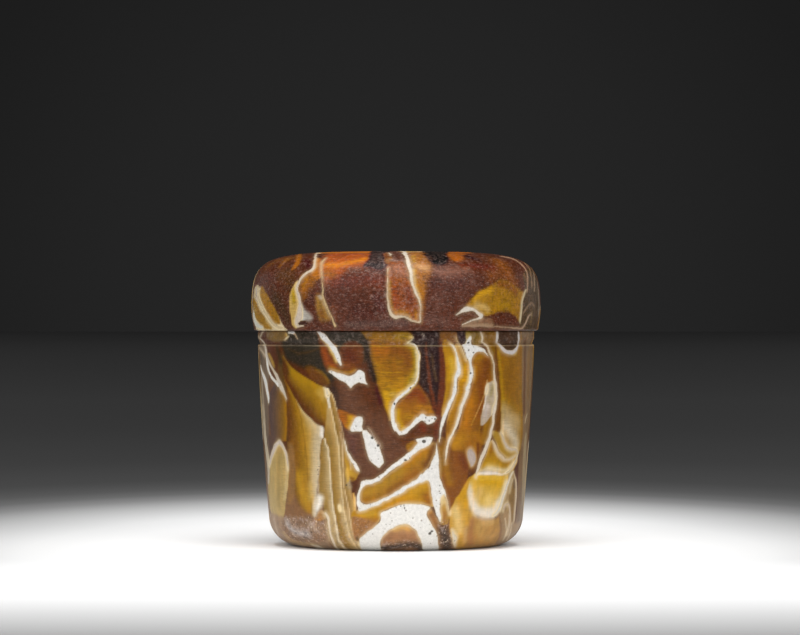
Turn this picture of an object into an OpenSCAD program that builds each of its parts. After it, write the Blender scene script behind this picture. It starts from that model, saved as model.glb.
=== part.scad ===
// Small round lidded box of banded glass: a turned box with a collar, and a lid that drops over it.
// Units are millimetres. The origin is the centre of the foot, on the table, and +Z is up.

/* [Box] */
// Height of the box from the table to the ledge that carries the lid
box_h = 31.1; // [27:0.1:40]
// Diameter of the box at its shoulder band
shoulder_d = 40.1; // [39:0.1:43]
// Diameter of the flat foot
foot_d = 28.2; // [24:0.1:30]
// Radius of the rounding between the foot and the wall
base_round = 4.35; // [3:0.05:5]
// Outward bow of the wall between its rounding and its groove
wall_bow = 0.18; // [0:0.02:0.4]
// Radius of the rounding on the outer edge of the ledge
ledge_round = 0.25; // [0.1:0.05:0.4]

/* [Hollow of the box] */
// Diameter of the hollow at the mouth
mouth_d = 32; // [30:0.1:33]
// Diameter of the hollow where its rounding into the floor starts
well_d = 30; // [26:0.1:30.5]
// Thickness of the glass under the hollow
floor_t = 3.8; // [2.5:0.1:6]
// Radius of the rounding between the hollow's wall and its floor
floor_round = 3; // [1:0.1:4]

/* [Shoulder groove] */
// Height of the plain band between the ledge and the groove
band_h = 0.85; // [0.5:0.05:1.5]
// Height of the long upper slope of the groove
groove_slope_h = 0.8; // [0.5:0.05:1.5]
// Height of the short lower step of the groove
groove_step_h = 0.2; // [0.1:0.05:0.5]
// Depth of the groove
groove_depth = 0.34; // [0.1:0.02:0.6]

/* [Collar] */
// Outer diameter of the collar that keeps the lid in place
collar_d = 35.3; // [34.6:0.1:35.8]
// Height of the collar above the ledge
collar_h = 4.2; // [2:0.1:5]
// Radius of the rounding on both top edges of the collar
collar_round = 0.5; // [0.2:0.05:0.75]

/* [Lid] */
// Largest diameter of the lid
lid_d = 42; // [41:0.1:45]
// Height of the lid from the ledge to its crown
lid_h = 11.4; // [10:0.1:15]
// Height above the ledge where the lid is widest
lid_belly_h = 3.6; // [2:0.1:5]
// How far the rim of the lid draws in below its widest place
lid_foot_inset = 0.35; // [0:0.05:0.6]
// How far inside its widest place the flat of the crown ends
lid_crown_inset = 2.5; // [1:0.1:8]
// Thickness of the glass over the recess of the lid, at its centre
lid_top_t = 3.4; // [2:0.1:4]
// Radius of the rounding between the wall and the ceiling of the recess
lid_recess_round = 2.2; // [1:0.1:3]
// Radius of the rounding on the lower edges of the lid
lid_edge_round = 0.3; // [0.1:0.05:0.5]

/* [Fit] */
// Radial clearance between the collar and the recess of the lid
lid_gap = 0.25; // [0.1:0.05:0.5]

/* [Hidden] */

// Steps in each rounding, and in each long curve
round_steps = 10;
curve_steps = 20;
small_steps = 4;
$fn = 128;

shoulder_r = shoulder_d / 2;
foot_r = foot_d / 2;
mouth_r = mouth_d / 2;
well_r = well_d / 2;
collar_r = collar_d / 2;
lid_r = lid_d / 2;

// The groove lies under the band, and the wall starts under the groove
groove_top_z = box_h - ledge_round - band_h;
groove_low_z = groove_top_z - groove_slope_h;
wall_top_z = groove_low_z - groove_step_h;

// Lean of the wall where it leaves the rounding of the base
wall_rise = wall_top_z - base_round;
wall_run = shoulder_r - foot_r - base_round;
wall_lean = atan((wall_run + 4 * wall_bow) / wall_rise);
wall_low_r = foot_r + base_round * cos(wall_lean);
wall_low_z = base_round * (1 - sin(wall_lean));

// Lean of the wall of the hollow, which opens upwards
collar_top_z = box_h + collar_h;
well_lean = atan((mouth_r - well_r) / (collar_top_z - collar_round - floor_t - floor_round));

// The recess of the lid clears the collar all round and above
recess_r = collar_r + lid_gap;
recess_h = lid_h - lid_top_t;
lid_foot_r = lid_r - lid_foot_inset;

// Points along an arc about a centre, from one angle to another
function arc(centre, radius, from, to, steps) = [
    for (i = [0:steps])
        let (turn = from + (to - from) * i / steps)
            centre + radius * [cos(turn), sin(turn)]
];

// Points along a cubic curve with two handles
function curve(start, handle_a, handle_b, end, steps) = [
    for (i = [0:steps])
        let (t = i / steps, s = 1 - t)
            s * s * s * start + 3 * s * s * t * handle_a + 3 * s * t * t * handle_b + t * t * t * end
];

// Points up the wall: a straight lean with a bow that is deepest halfway
function bowed_wall(steps) = [
    for (i = [1:steps])
        let (t = i / steps)
            [
                wall_low_r + (shoulder_r - wall_low_r) * t + 4 * wall_bow * t * (1 - t),
                wall_low_z + (wall_top_z - wall_low_z) * t
            ]
];

// Outside of the box, from the centre of its foot up to the inner edge of its ledge
box_outside = concat(
    [[0, 0]],
    arc([foot_r, base_round], base_round, -90, -wall_lean, round_steps),
    bowed_wall(round_steps),
    [
        [shoulder_r - groove_depth, groove_low_z],
        [shoulder_r, groove_top_z]
    ],
    arc([shoulder_r - ledge_round, box_h - ledge_round], ledge_round, 0, 90, small_steps),
    [[collar_r, box_h]]
);

// Collar and hollow of the box, from the outer top edge of the collar down to the floor
box_inside = concat(
    arc([collar_r - collar_round, collar_top_z - collar_round], collar_round, 0, 90, small_steps),
    arc([mouth_r + collar_round, collar_top_z - collar_round], collar_round, 90, 180, small_steps),
    arc([well_r - floor_round, floor_t + floor_round], floor_round, -well_lean, -90, round_steps),
    [[0, floor_t]]
);

// Outside of the lid, from its crown down to the outer edge of its rim
lid_outside = concat(
    curve([0, lid_h], [lid_r - lid_crown_inset, lid_h], [lid_r, lid_h], [lid_r, lid_belly_h], curve_steps),
    curve(
        [lid_r, lid_belly_h],
        [lid_r, lid_belly_h / 2],
        [lid_foot_r, lid_edge_round * 2],
        [lid_foot_r, lid_edge_round],
        round_steps
    ),
    arc([lid_foot_r - lid_edge_round, lid_edge_round], lid_edge_round, 0, -90, small_steps)
);

// Recess of the lid, from the inner edge of its rim up to the centre of its ceiling
lid_inside = concat(
    arc([recess_r + lid_edge_round, lid_edge_round], lid_edge_round, -90, -180, small_steps),
    arc([recess_r - lid_recess_round, recess_h - lid_recess_round], lid_recess_round, 0, 90, round_steps),
    [[0, recess_h]]
);

// The turned box: rounded base, leaning wall, grooved shoulder and collar in one piece of glass
module box() {
    color([0.48, 0.29, 0.13])
        rotate_extrude()
            polygon(concat(box_outside, box_inside));
}

// The lid: a low crown with a rounded shoulder, hollowed to drop over the collar onto the ledge
module lid() {
    color([0.42, 0.22, 0.15])
        translate([0, 0, box_h])
            rotate_extrude()
                polygon(concat(lid_outside, lid_inside));
}

box();
lid();
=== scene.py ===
"""Looks of a small round box of mosaic glass with a drop-on lid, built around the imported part.

Both pieces are turned shapes. Their pattern is laid like the glass itself: chips, shaded glows and
white veins are drawn on a flat chart, one chart square is a 289th of the lid's diameter, and each
point of the glass takes the colour of the chart square that it lies on.
"""

import math

import bpy
import numpy as np
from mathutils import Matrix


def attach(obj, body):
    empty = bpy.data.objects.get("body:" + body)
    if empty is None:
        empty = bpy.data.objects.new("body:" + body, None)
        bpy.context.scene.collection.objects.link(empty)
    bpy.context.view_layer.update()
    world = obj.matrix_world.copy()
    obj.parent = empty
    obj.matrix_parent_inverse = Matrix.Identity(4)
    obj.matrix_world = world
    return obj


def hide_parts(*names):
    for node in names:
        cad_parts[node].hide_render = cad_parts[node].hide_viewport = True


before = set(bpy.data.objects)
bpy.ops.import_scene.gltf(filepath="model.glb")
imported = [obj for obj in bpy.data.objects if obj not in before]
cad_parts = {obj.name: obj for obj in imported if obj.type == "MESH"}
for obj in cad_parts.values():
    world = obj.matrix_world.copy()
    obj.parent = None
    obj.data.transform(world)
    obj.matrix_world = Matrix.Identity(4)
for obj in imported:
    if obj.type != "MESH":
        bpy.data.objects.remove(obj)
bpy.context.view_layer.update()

# Sizes of the glass in millimetres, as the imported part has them
BOX_H = 31.1
SHOULDER_R = 20.05
FOOT_R = 14.1
BASE_ROUND = 4.35
WALL_BOW = 0.18
LEDGE_ROUND = 0.25
BAND_H = 0.85
GROOVE_SLOPE_H = 0.8
GROOVE_STEP_H = 0.2
GROOVE_DEPTH = 0.34
COLLAR_R = 17.65
COLLAR_H = 4.2
COLLAR_ROUND = 0.5
MOUTH_R = 16.0
WELL_R = 15.0
FLOOR_T = 3.8
FLOOR_ROUND = 3.0
LID_R = 21.0
LID_H = 11.4
LID_BELLY_H = 3.6
LID_FOOT_INSET = 0.35
LID_CROWN_INSET = 2.5
LID_TOP_T = 3.4
LID_RECESS_ROUND = 2.2
LID_EDGE_ROUND = 0.3
LID_GAP = 0.25
MM = 0.001

# The chart: its square, and where its zero lies in the picture that the camera takes
SQUARE = 2 * LID_R / 289
PICTURE_W = 800
PICTURE_H = 635
CHART_X = 396.0
CHART_Y = 544.0

# The camera looks straight ahead from the front, at the height of the box's shoulder
LENS = 165.0
SENSOR = 36.0
SIGHT = LENS / SENSOR * PICTURE_W
DISTANCE = SIGHT * SQUARE
CAMERA_X = (PICTURE_W / 2 - CHART_X) * SQUARE
EYE_H = 32.98

# Columns round each piece: every third one carries on over the parts that hardly show
COLUMNS = 486
COARSE = 3
FRONT_CROWDING = 0.28
# How much softer the edges of shaded glass are laid where the columns stand further apart
BACK_SOFTER = 3.4
# Rings: steps up the wall, and their spacing on the groove and on the outer and inner crown, in mm
WALL_STEPS = 128
GROOVE_PITCH = 0.22
GROOVE_CUT = 0.05
CROWN_PITCH = 0.19
CROWN_COARSE_PITCH = 0.42
CROWN_COARSE_REACH = 8.5
# The solid is a fine polygon seen from above; this keeps the round glass inside its box
SLIM = 0.9996
# How deep an open bubble is dented into the glass, in mm
DENT = 0.12
# How far a drawn line sways, in chart squares, over waves of this length in mm
SWAY = 0.35
SWAY_WAVE = 1.6
# The wall ends and the groove starts at this height
WALL_TOP = BOX_H - LEDGE_ROUND - BAND_H - GROOVE_SLOPE_H - GROOVE_STEP_H
# The top of the crown, by height in millimetres, that the front view does not reach
CROWN_FLAT = 0.12
# The floor and the foot are drawn this far below the wall, so that neither takes the other's chips
PLAN_DROP = 1000.0
# What is laid upside down on the wall has its top at this v
UPSIDE_DOWN = 204
# What plain light adds to every colour as a sheen, taken off the colours of the glass again
SHEEN = 0.031


# Turned shapes

def arc(centre, radius, start, stop, steps):
    """Points round a centre: centre plus radius times the cosine and sine of an even run of angles."""
    turn = np.radians(np.linspace(start, stop, steps + 1))[:, None]
    return np.array(centre) + radius * np.hstack([np.cos(turn), np.sin(turn)])


def bezier(start, handle_a, handle_b, end, steps):
    """Points on a cubic with two handles, weighted by the powers of t and of 1 - t."""
    t = np.linspace(0, 1, steps + 1)[:, None]
    s = 1 - t
    return (s ** 3 * np.array(start) + 3 * s * s * t * np.array(handle_a)
            + 3 * s * t * t * np.array(handle_b) + t ** 3 * np.array(end))


def walk(corners, pitch):
    """Points along the straight lines between corners, in even steps that are at most the pitch."""
    corners = np.array(corners, float)
    runs = [corners[:1]]
    for start, end in zip(corners[:-1], corners[1:]):
        steps = max(1, math.ceil(np.hypot(*(end - start)) / pitch - 0.01))
        runs.append(start + (end - start) * np.linspace(0, 1, steps + 1)[1:, None])
    return np.vstack(runs)


def softened(corners, cut):
    """Each inner corner of a line becomes two points, a short cut before it and after it."""
    corners = np.array(corners, float)
    line = [corners[0]]
    for before, corner, after in zip(corners[:-2], corners[1:-1], corners[2:]):
        for end in (before, after):
            line.append(corner + (end - corner) / np.hypot(*(end - corner)) * cut)
    return np.array(line + [corners[-1]])


def joined(runs):
    """One profile from runs of (face name, points, column step), with each point's face and step."""
    points, faces, steps = [], [], []
    for face, run, step in runs:
        run = run if not points or np.hypot(*(run[0] - points[-1][-1])) > 1e-6 else run[1:]
        points.append(run)
        faces += [face] * len(run)
        steps += [step] * len(run)
    return np.vstack(points), np.array(faces), np.array(steps)


def box_profile():
    """Half section of the box, from the centre of its foot out, up the wall, in, and down the hollow."""
    run = SHOULDER_R - FOOT_R - BASE_ROUND
    lean = math.degrees(math.atan((run + 4 * WALL_BOW) / (WALL_TOP - BASE_ROUND)))
    low_r = FOOT_R + BASE_ROUND * math.cos(math.radians(lean))
    low_z = BASE_ROUND * (1 - math.sin(math.radians(lean)))
    t = np.linspace(0, 1, WALL_STEPS + 1)[1:]
    wall = np.column_stack([
        low_r + (SHOULDER_R - low_r) * t + 4 * WALL_BOW * t * (1 - t),
        low_z + (WALL_TOP - low_z) * t])
    groove_low = WALL_TOP + GROOVE_STEP_H
    band_low = groove_low + GROOVE_SLOPE_H
    groove = softened([wall[-2], wall[-1], (SHOULDER_R - GROOVE_DEPTH, groove_low),
                       (SHOULDER_R, band_low), (SHOULDER_R, BOX_H - LEDGE_ROUND)], GROOVE_CUT)[1:]
    collar_top = BOX_H + COLLAR_H
    round_z = collar_top - COLLAR_ROUND
    well_z = FLOOR_T + FLOOR_ROUND
    well_lean = math.degrees(math.atan((MOUTH_R - WELL_R) / (round_z - FLOOR_T - FLOOR_ROUND)))
    return joined([
        ("foot", walk([(0, 0), (FOOT_R, 0)], 1.1), COARSE),
        ("wall", arc((FOOT_R, BASE_ROUND), BASE_ROUND, -90, -lean, 30), 1),
        ("wall", wall[:-1], 1),
        ("wall", walk(groove, GROOVE_PITCH), 1),
        ("wall", arc((SHOULDER_R - LEDGE_ROUND, BOX_H - LEDGE_ROUND), LEDGE_ROUND, 0, 90, 3), 1),
        ("ledge", walk([(SHOULDER_R - LEDGE_ROUND, BOX_H), (COLLAR_R, BOX_H)], 0.9)[1:], COARSE),
        ("collar", walk([(COLLAR_R, BOX_H), (COLLAR_R, round_z)], 0.7), COARSE),
        ("collar", arc((COLLAR_R - COLLAR_ROUND, round_z), COLLAR_ROUND, 0, 90, 4), COARSE),
        ("hollow", arc((MOUTH_R + COLLAR_ROUND, round_z), COLLAR_ROUND, 90, 180, 4), COARSE),
        ("hollow", walk([(MOUTH_R, round_z), (WELL_R, well_z)], 1.0), COARSE),
        ("floor", arc((WELL_R - FLOOR_ROUND, well_z), FLOOR_ROUND, -well_lean, -90, 6), COARSE),
        ("floor", walk([(WELL_R - FLOOR_ROUND, FLOOR_T), (0, FLOOR_T)], 1.2), COARSE)])


def lid_profile():
    """Half section of the lid, from the centre of its recess out, down to the rim, and up to the crown."""
    recess_r = COLLAR_R + LID_GAP
    recess_h = LID_H - LID_TOP_T
    foot_r = LID_R - LID_FOOT_INSET
    edge = LID_EDGE_ROUND
    side = bezier((foot_r, edge), (foot_r, 2 * edge), (LID_R, LID_BELLY_H / 2), (LID_R, LID_BELLY_H), 18)
    crown = bezier((LID_R, LID_BELLY_H), (LID_R, LID_H), (LID_R - LID_CROWN_INSET, LID_H), (0, LID_H), 400)
    ends = np.cumsum(np.hypot(*np.diff(crown, axis=0).T))
    lengths = np.concatenate([[0], ends])
    change_at = ends[-1] - CROWN_COARSE_REACH
    fine_at = np.arange(CROWN_PITCH, change_at, CROWN_PITCH)
    coarse_at = np.append(np.arange(change_at, ends[-1] - 0.2, CROWN_COARSE_PITCH), ends[-1])
    fine, coarse = (np.column_stack([np.interp(at, lengths, side_of) for side_of in crown.T])
                    for at in (fine_at, coarse_at))
    points, faces, steps = joined([
        ("recess", walk([(0, recess_h), (recess_r - LID_RECESS_ROUND, recess_h)], 1.2), COARSE),
        ("recess", arc((recess_r - LID_RECESS_ROUND, recess_h - LID_RECESS_ROUND),
                       LID_RECESS_ROUND, 90, 0, 6), COARSE),
        ("recess", walk([(recess_r, recess_h - LID_RECESS_ROUND), (recess_r, edge)], 0.9), COARSE),
        ("recess", arc((recess_r + edge, edge), edge, 180, 270, 3), COARSE),
        ("crown", arc((foot_r - edge, edge), edge, -90, 0, 3), 1),
        ("crown", side, 1),
        ("crown", fine, 1),
        ("crown", coarse, COARSE)])
    return points + [0, BOX_H], faces, steps


class Turned:
    """A profile carried once round the axis: rings of points, a single point where the radius is nought.

    A point at angle a lies at (radius * sin a, -radius * cos a, height), so angle nought is the front.
    Angles crowd towards the front: angle = even angle - crowding * sin(even angle).
    """

    def __init__(self, profile):
        self.profile, self.faces, self.steps = profile
        even = np.arange(COLUMNS) * 2 * math.pi / COLUMNS
        angles = even - FRONT_CROWDING * np.sin(even)
        self.poles = self.profile[:, 0] < 1e-9
        counts = np.where(self.poles, 1, COLUMNS // self.steps)
        self.starts = np.concatenate([[0], np.cumsum(counts)])
        self.ring = np.repeat(np.arange(len(counts)), counts)
        self.angle = np.concatenate([angles[:1] if pole else angles[::step]
                                     for pole, step in zip(self.poles, self.steps)])
        lengths = np.hypot(*np.diff(self.profile, axis=0).T)
        self.length = np.concatenate([[0], np.cumsum(lengths)])
        slope = np.gradient(self.profile, axis=0)
        slope /= np.hypot(*slope.T)[:, None]
        self.out = np.column_stack([slope[:, 1], -slope[:, 0]])
        self.face = self.faces[self.ring]
        self.radius, self.height = self.profile[self.ring].T
        self.spots = self.spread(self.profile) * [SLIM, SLIM, 1]
        self.normals = self.spread(self.out)

    def spread(self, pairs):
        """Turns (across, up) pairs of the profile into (x, y, z) at every point."""
        across, up = pairs[self.ring].T
        return np.column_stack([across * np.sin(self.angle), -across * np.cos(self.angle), up])

    def between(self, low):
        """Faces between a ring and the next: quads, or fans where the number of columns changes."""
        a, b = self.starts[low], self.starts[low + 1]
        count_a, count_b = self.starts[low + 1] - a, self.starts[low + 2] - b
        if count_a == count_b:
            i = np.arange(count_a)
            j = (i + 1) % count_a
            return np.column_stack([a + i, a + j, b + j, b + i]).tolist()
        if count_a == 1:
            i = np.arange(count_b)
            return np.column_stack([np.full(count_b, a), b + (i + 1) % count_b, b + i]).tolist()
        if count_b == 1:
            i = np.arange(count_a)
            return np.column_stack([a + i, a + (i + 1) % count_a, np.full(count_a, b)]).tolist()
        few, many = min(count_a, count_b), max(count_a, count_b)
        i = np.arange(few)
        j = (i + 1) % few
        fine = [(COARSE * i + k) % many for k in range(COARSE + 1)]
        if count_a < count_b:
            fans = [(a + i, b + fine[1], b + fine[0]), (a + i, b + fine[2], b + fine[1]),
                    (a + i, a + j, b + fine[2]), (a + j, b + fine[3], b + fine[2])]
        else:
            fans = [(b + i, a + fine[0], a + fine[1]), (b + i, a + fine[1], a + fine[2]),
                    (b + j, b + i, a + fine[2]), (b + j, a + fine[2], a + fine[3])]
        return np.vstack([np.column_stack(fan) for fan in fans]).tolist()

    def made(self, name):
        """The mesh object, closed at both ends of the profile and smooth all over."""
        faces = []
        for low in range(len(self.profile) - 1):
            faces += self.between(low)
        mesh = bpy.data.meshes.new(name)
        mesh.from_pydata((self.spots * MM).tolist(), [], faces)
        mesh.polygons.foreach_set("use_smooth", np.ones(len(mesh.polygons), bool))
        mesh.update()
        piece = bpy.data.objects.new(name, mesh)
        bpy.context.scene.collection.objects.link(piece)
        return piece


# Drawing on the chart

def smooth(points, closed, steps=5):
    """The curve through all the points: between two, a cubic that leaves each one along its neighbours."""
    p = np.array(points, float)
    if closed:
        a, b, c, d = np.roll(p, 1, 0), p, np.roll(p, -1, 0), np.roll(p, -2, 0)
    else:
        padded = np.vstack([2 * p[0] - p[1], p, 2 * p[-1] - p[-2]])
        a, b, c, d = padded[:-3], padded[1:-2], padded[2:-1], padded[3:]
    t = (np.arange(steps) / steps)[None, :, None]
    a, b, c, d = (q[:, None] for q in (a, b, c, d))
    curve = 0.5 * (2 * b + (c - a) * t + (2 * a - 5 * b + 4 * c - d) * t ** 2
                   + (3 * b - a - 3 * c + d) * t ** 3)
    curve = curve.reshape(-1, p.shape[1])
    return curve if closed else np.vstack([curve, p[-1:]])


def ribbon(points):
    """Closed outline of a stroke given as (u, v, half width) points: its centre line, moved both ways."""
    line = smooth(points, closed=False)
    run = np.gradient(line[:, :2], axis=0)
    run /= np.hypot(*run.T)[:, None] + 1e-9
    side = np.column_stack([-run[:, 1], run[:, 0]]) * np.maximum(line[:, 2:], 0.05)
    return np.vstack([line[:, :2] + side, (line[:, :2] - side)[::-1]])


def ramp(value, low, high):
    """Nought below low, one above high, and a smooth step between."""
    t = np.clip((value - low) / (high - low), 0, 1)
    return t * t * (3 - 2 * t)


def ripple(spots, wave, seed, waves=7):
    """Smooth waviness between about -1 and 1: a mean of sines in seeded directions near one wavelength."""
    dice = np.random.default_rng(seed)
    ways = dice.normal(size=(3, waves))
    ways *= 2 * math.pi / wave * dice.uniform(0.6, 1.5, waves) / np.linalg.norm(ways, axis=0)
    return np.sin(spots @ ways + dice.uniform(0, 2 * math.pi, waves)).sum(1) / math.sqrt(waves)


# Glasses, each the colour in red, green and blue that it shows in plain light, out of 255
CHARCOAL = (61, 56, 50)
UMBER = (94, 63, 47)
PLUM = (104, 76, 63)
HONEY = (176, 126, 22)
STRAW = (204, 170, 102)
SAND = (164, 138, 92)
CREAM = (214, 196, 160)
ROSE = (198, 174, 148)
MILK = (228, 225, 220)
MULBERRY = (92, 61, 52)

# Chart squares: the depth that counts as far off, how far a filled outline reaches past its line,
# and the softness of the edge that a glow is held inside
FAR = 9.0
OVERLAP = 0.6
EDGE = 0.8


class Chips:
    """What is laid on the chart, read at every point of a piece.

    ground: colour of the glass; vein: how many squares deep a point is in white glass, negative
    outside; milk: colour of that white glass; pit: the same depth for bubbles; grit: how
    weathered, and how many painted glints show; scuff: how much polishing shows; place: where a
    chart square lies; last: the outline filled last.
    """

    def __init__(self, spots, body, girth=None):
        count = len(spots)
        self.spots = spots
        self.girth = girth
        self.place = None
        self.ground = np.tile(np.array(body, float), (count, 1))
        self.milk = np.tile(np.array(MILK, float), (count, 1))
        self.vein = np.full(count, -FAR)
        self.pit = np.full(count, -FAR)
        self.grit = np.zeros(count)
        self.scuff = np.zeros(count)
        self.last = None
        self.coarse = 1.0

    def near(self, line, margin):
        """Points within a margin of a line's extent, and both measured from the middle of it."""
        low, high = line.min(0), line.max(0)
        middle = (low + high) / 2
        off = self.spots - middle
        if self.girth:
            off[:, 0] = (off[:, 0] + self.girth / 2) % self.girth - self.girth / 2
        which = np.flatnonzero((np.abs(off) < (high - low) / 2 + margin).all(1))
        return which, off[which], line - middle

    def gap(self, line, spots, closed):
        """Distance from each spot to the nearest piece of a line, and whether the line goes round it."""
        start = line if closed else line[:-1]
        end = np.roll(line, -1, 0) if closed else line[1:]
        edge = end - start
        to = spots[:, None] - start[None]
        along = np.clip((to * edge).sum(-1) / ((edge ** 2).sum(-1) + 1e-9), 0, 1)
        miss = to - along[..., None] * edge
        gap = np.sqrt((miss ** 2).sum(-1).min(1))
        side = edge[:, 0] * to[..., 1] - edge[:, 1] * to[..., 0]
        from_below, to_above = to[..., 1] >= 0, spots[:, None, 1] < end[None, :, 1]
        turns = (from_below & to_above & (side > 0)).sum(1) - (~from_below & ~to_above & (side < 0)).sum(1)
        return gap, turns != 0

    def depth(self, outline, margin):
        """Which points are near a closed outline, and how deep inside it they are."""
        which, spots, line = self.near(self.place(outline), margin)
        gap, inside = self.gap(line, spots, closed=True)
        return which, np.where(inside, gap, -gap)

    def tint(self, which, colour, cover):
        """Moves the glass at some points towards a colour by the share that covers it."""
        self.ground[which] += (np.array(colour) - self.ground[which]) * cover[:, None]

    def pool(self, points, colour, soft=0.9, strength=1.0):
        """Fills a smooth closed outline with a colour, a little past its line and over a soft edge."""
        self.last = smooth(points, closed=True)
        which, depth = self.depth(self.last, soft + 1)
        self.tint(which, colour, strength * ramp(depth + OVERLAP, -soft, soft))

    def fold(self, left, right, dark, light, bend=1.5, soft=1.1):
        """Glass between two open lines: dark at the left one, light at the right one.

        The share of light is the way across, from 0 to 1, to the power of the bend.
        """
        soft = soft * self.coarse
        left, right = smooth(left, closed=False), smooth(right, closed=False)
        outline = np.vstack([left, right[::-1]])
        which, spots, line = self.near(self.place(outline), soft + 1)
        gap, inside = self.gap(line, spots, closed=True)
        from_left = self.gap(line[:len(left)], spots, closed=False)[0]
        from_right = self.gap(line[len(left):], spots, closed=False)[0]
        share = (from_left / (from_left + from_right + 1e-9))[:, None] ** bend
        colour = np.array(dark) + (np.array(light) - dark) * share
        self.tint(which, colour, ramp(np.where(inside, gap, -gap), -soft, soft))
        self.last = outline

    def thread(self, points, colour, strength=1.0, soft=0.8):
        """A soft stroke in the glass, given as (u, v, half width) points."""
        which, depth = self.depth(ribbon(points), soft + 1)
        self.tint(which, colour, strength * ramp(depth, -soft, soft))

    def blush(self, points, radius, colour, strength=0.8):
        """A glow that stays inside the outline that was filled last."""
        which, depth = self.depth(self.last, 1.5)
        share = np.zeros(len(self.spots))
        share[which] = ramp(depth, -EDGE, EDGE)
        self.glow(points, radius, colour, strength, share)

    def glow(self, points, radius, colour, strength=0.6, share=1.0):
        """Shades the glass along a line, most on the line and less with the square of the distance."""
        points = [points] if np.isscalar(points[0]) else points
        line = smooth(points, closed=False) if len(points) > 1 else np.array([points[0]] * 2, float)
        which, spots, line = self.near(self.place(line), 2.2 * radius)
        gap, _ = self.gap(line, spots, closed=False)
        cover = strength * np.exp(-(gap / radius) ** 2)
        self.tint(which, colour, cover * (np.zeros(len(self.spots)) + share)[which])

    def poured(self, outline, colour):
        """White glass inside a closed outline: the depth there is the greatest of all outlines."""
        which, depth = self.depth(outline, FAR)
        deeper = depth > self.vein[which]
        self.vein[which[deeper]] = depth[deeper]
        self.milk[which[deeper]] = colour

    def white(self, points, colour=MILK):
        """White glass inside a smooth closed outline."""
        self.poured(smooth(points, closed=True), colour)

    def veins(self, points, colour=MILK):
        """White glass along a stroke, given as (u, v, half width) points."""
        self.poured(ribbon(points), colour)

    def bubbles(self, *rings):
        """Open bubbles, each given as (u, v, half width) or as (u, v, half width, half height)."""
        turn = np.linspace(0, 2 * math.pi, 13)[:-1]
        for u, v, *half in rings:
            ring = np.column_stack([u + half[0] * np.cos(turn), v + half[-1] * np.sin(turn)])
            which, depth = self.depth(ring, 3)
            self.pit[which] = np.maximum(self.pit[which], depth)

    def scuffed(self, points, amount, soft=6.0):
        """Lays the level scratches of polishing inside a smooth closed outline."""
        which, depth = self.depth(smooth(points, closed=True), soft + 1)
        self.scuff[which] = np.maximum(self.scuff[which], amount * ramp(depth, -soft, soft))

    def weathered(self, points, amount, soft=3.0):
        """Makes the surface rough, dull and grainy inside a smooth closed outline, where painted glints also
        show.
        """
        which, depth = self.depth(smooth(points, closed=True), soft + 1)
        self.grit[which] = np.maximum(self.grit[which], amount * ramp(depth, -soft, soft))


# The drawing. Points are (u,v) in chart squares, strokes are (u,v,half width), and colours are
# (red,green,blue). A chart square is a 289th of the lid's diameter, and v is counted up from the table.

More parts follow.
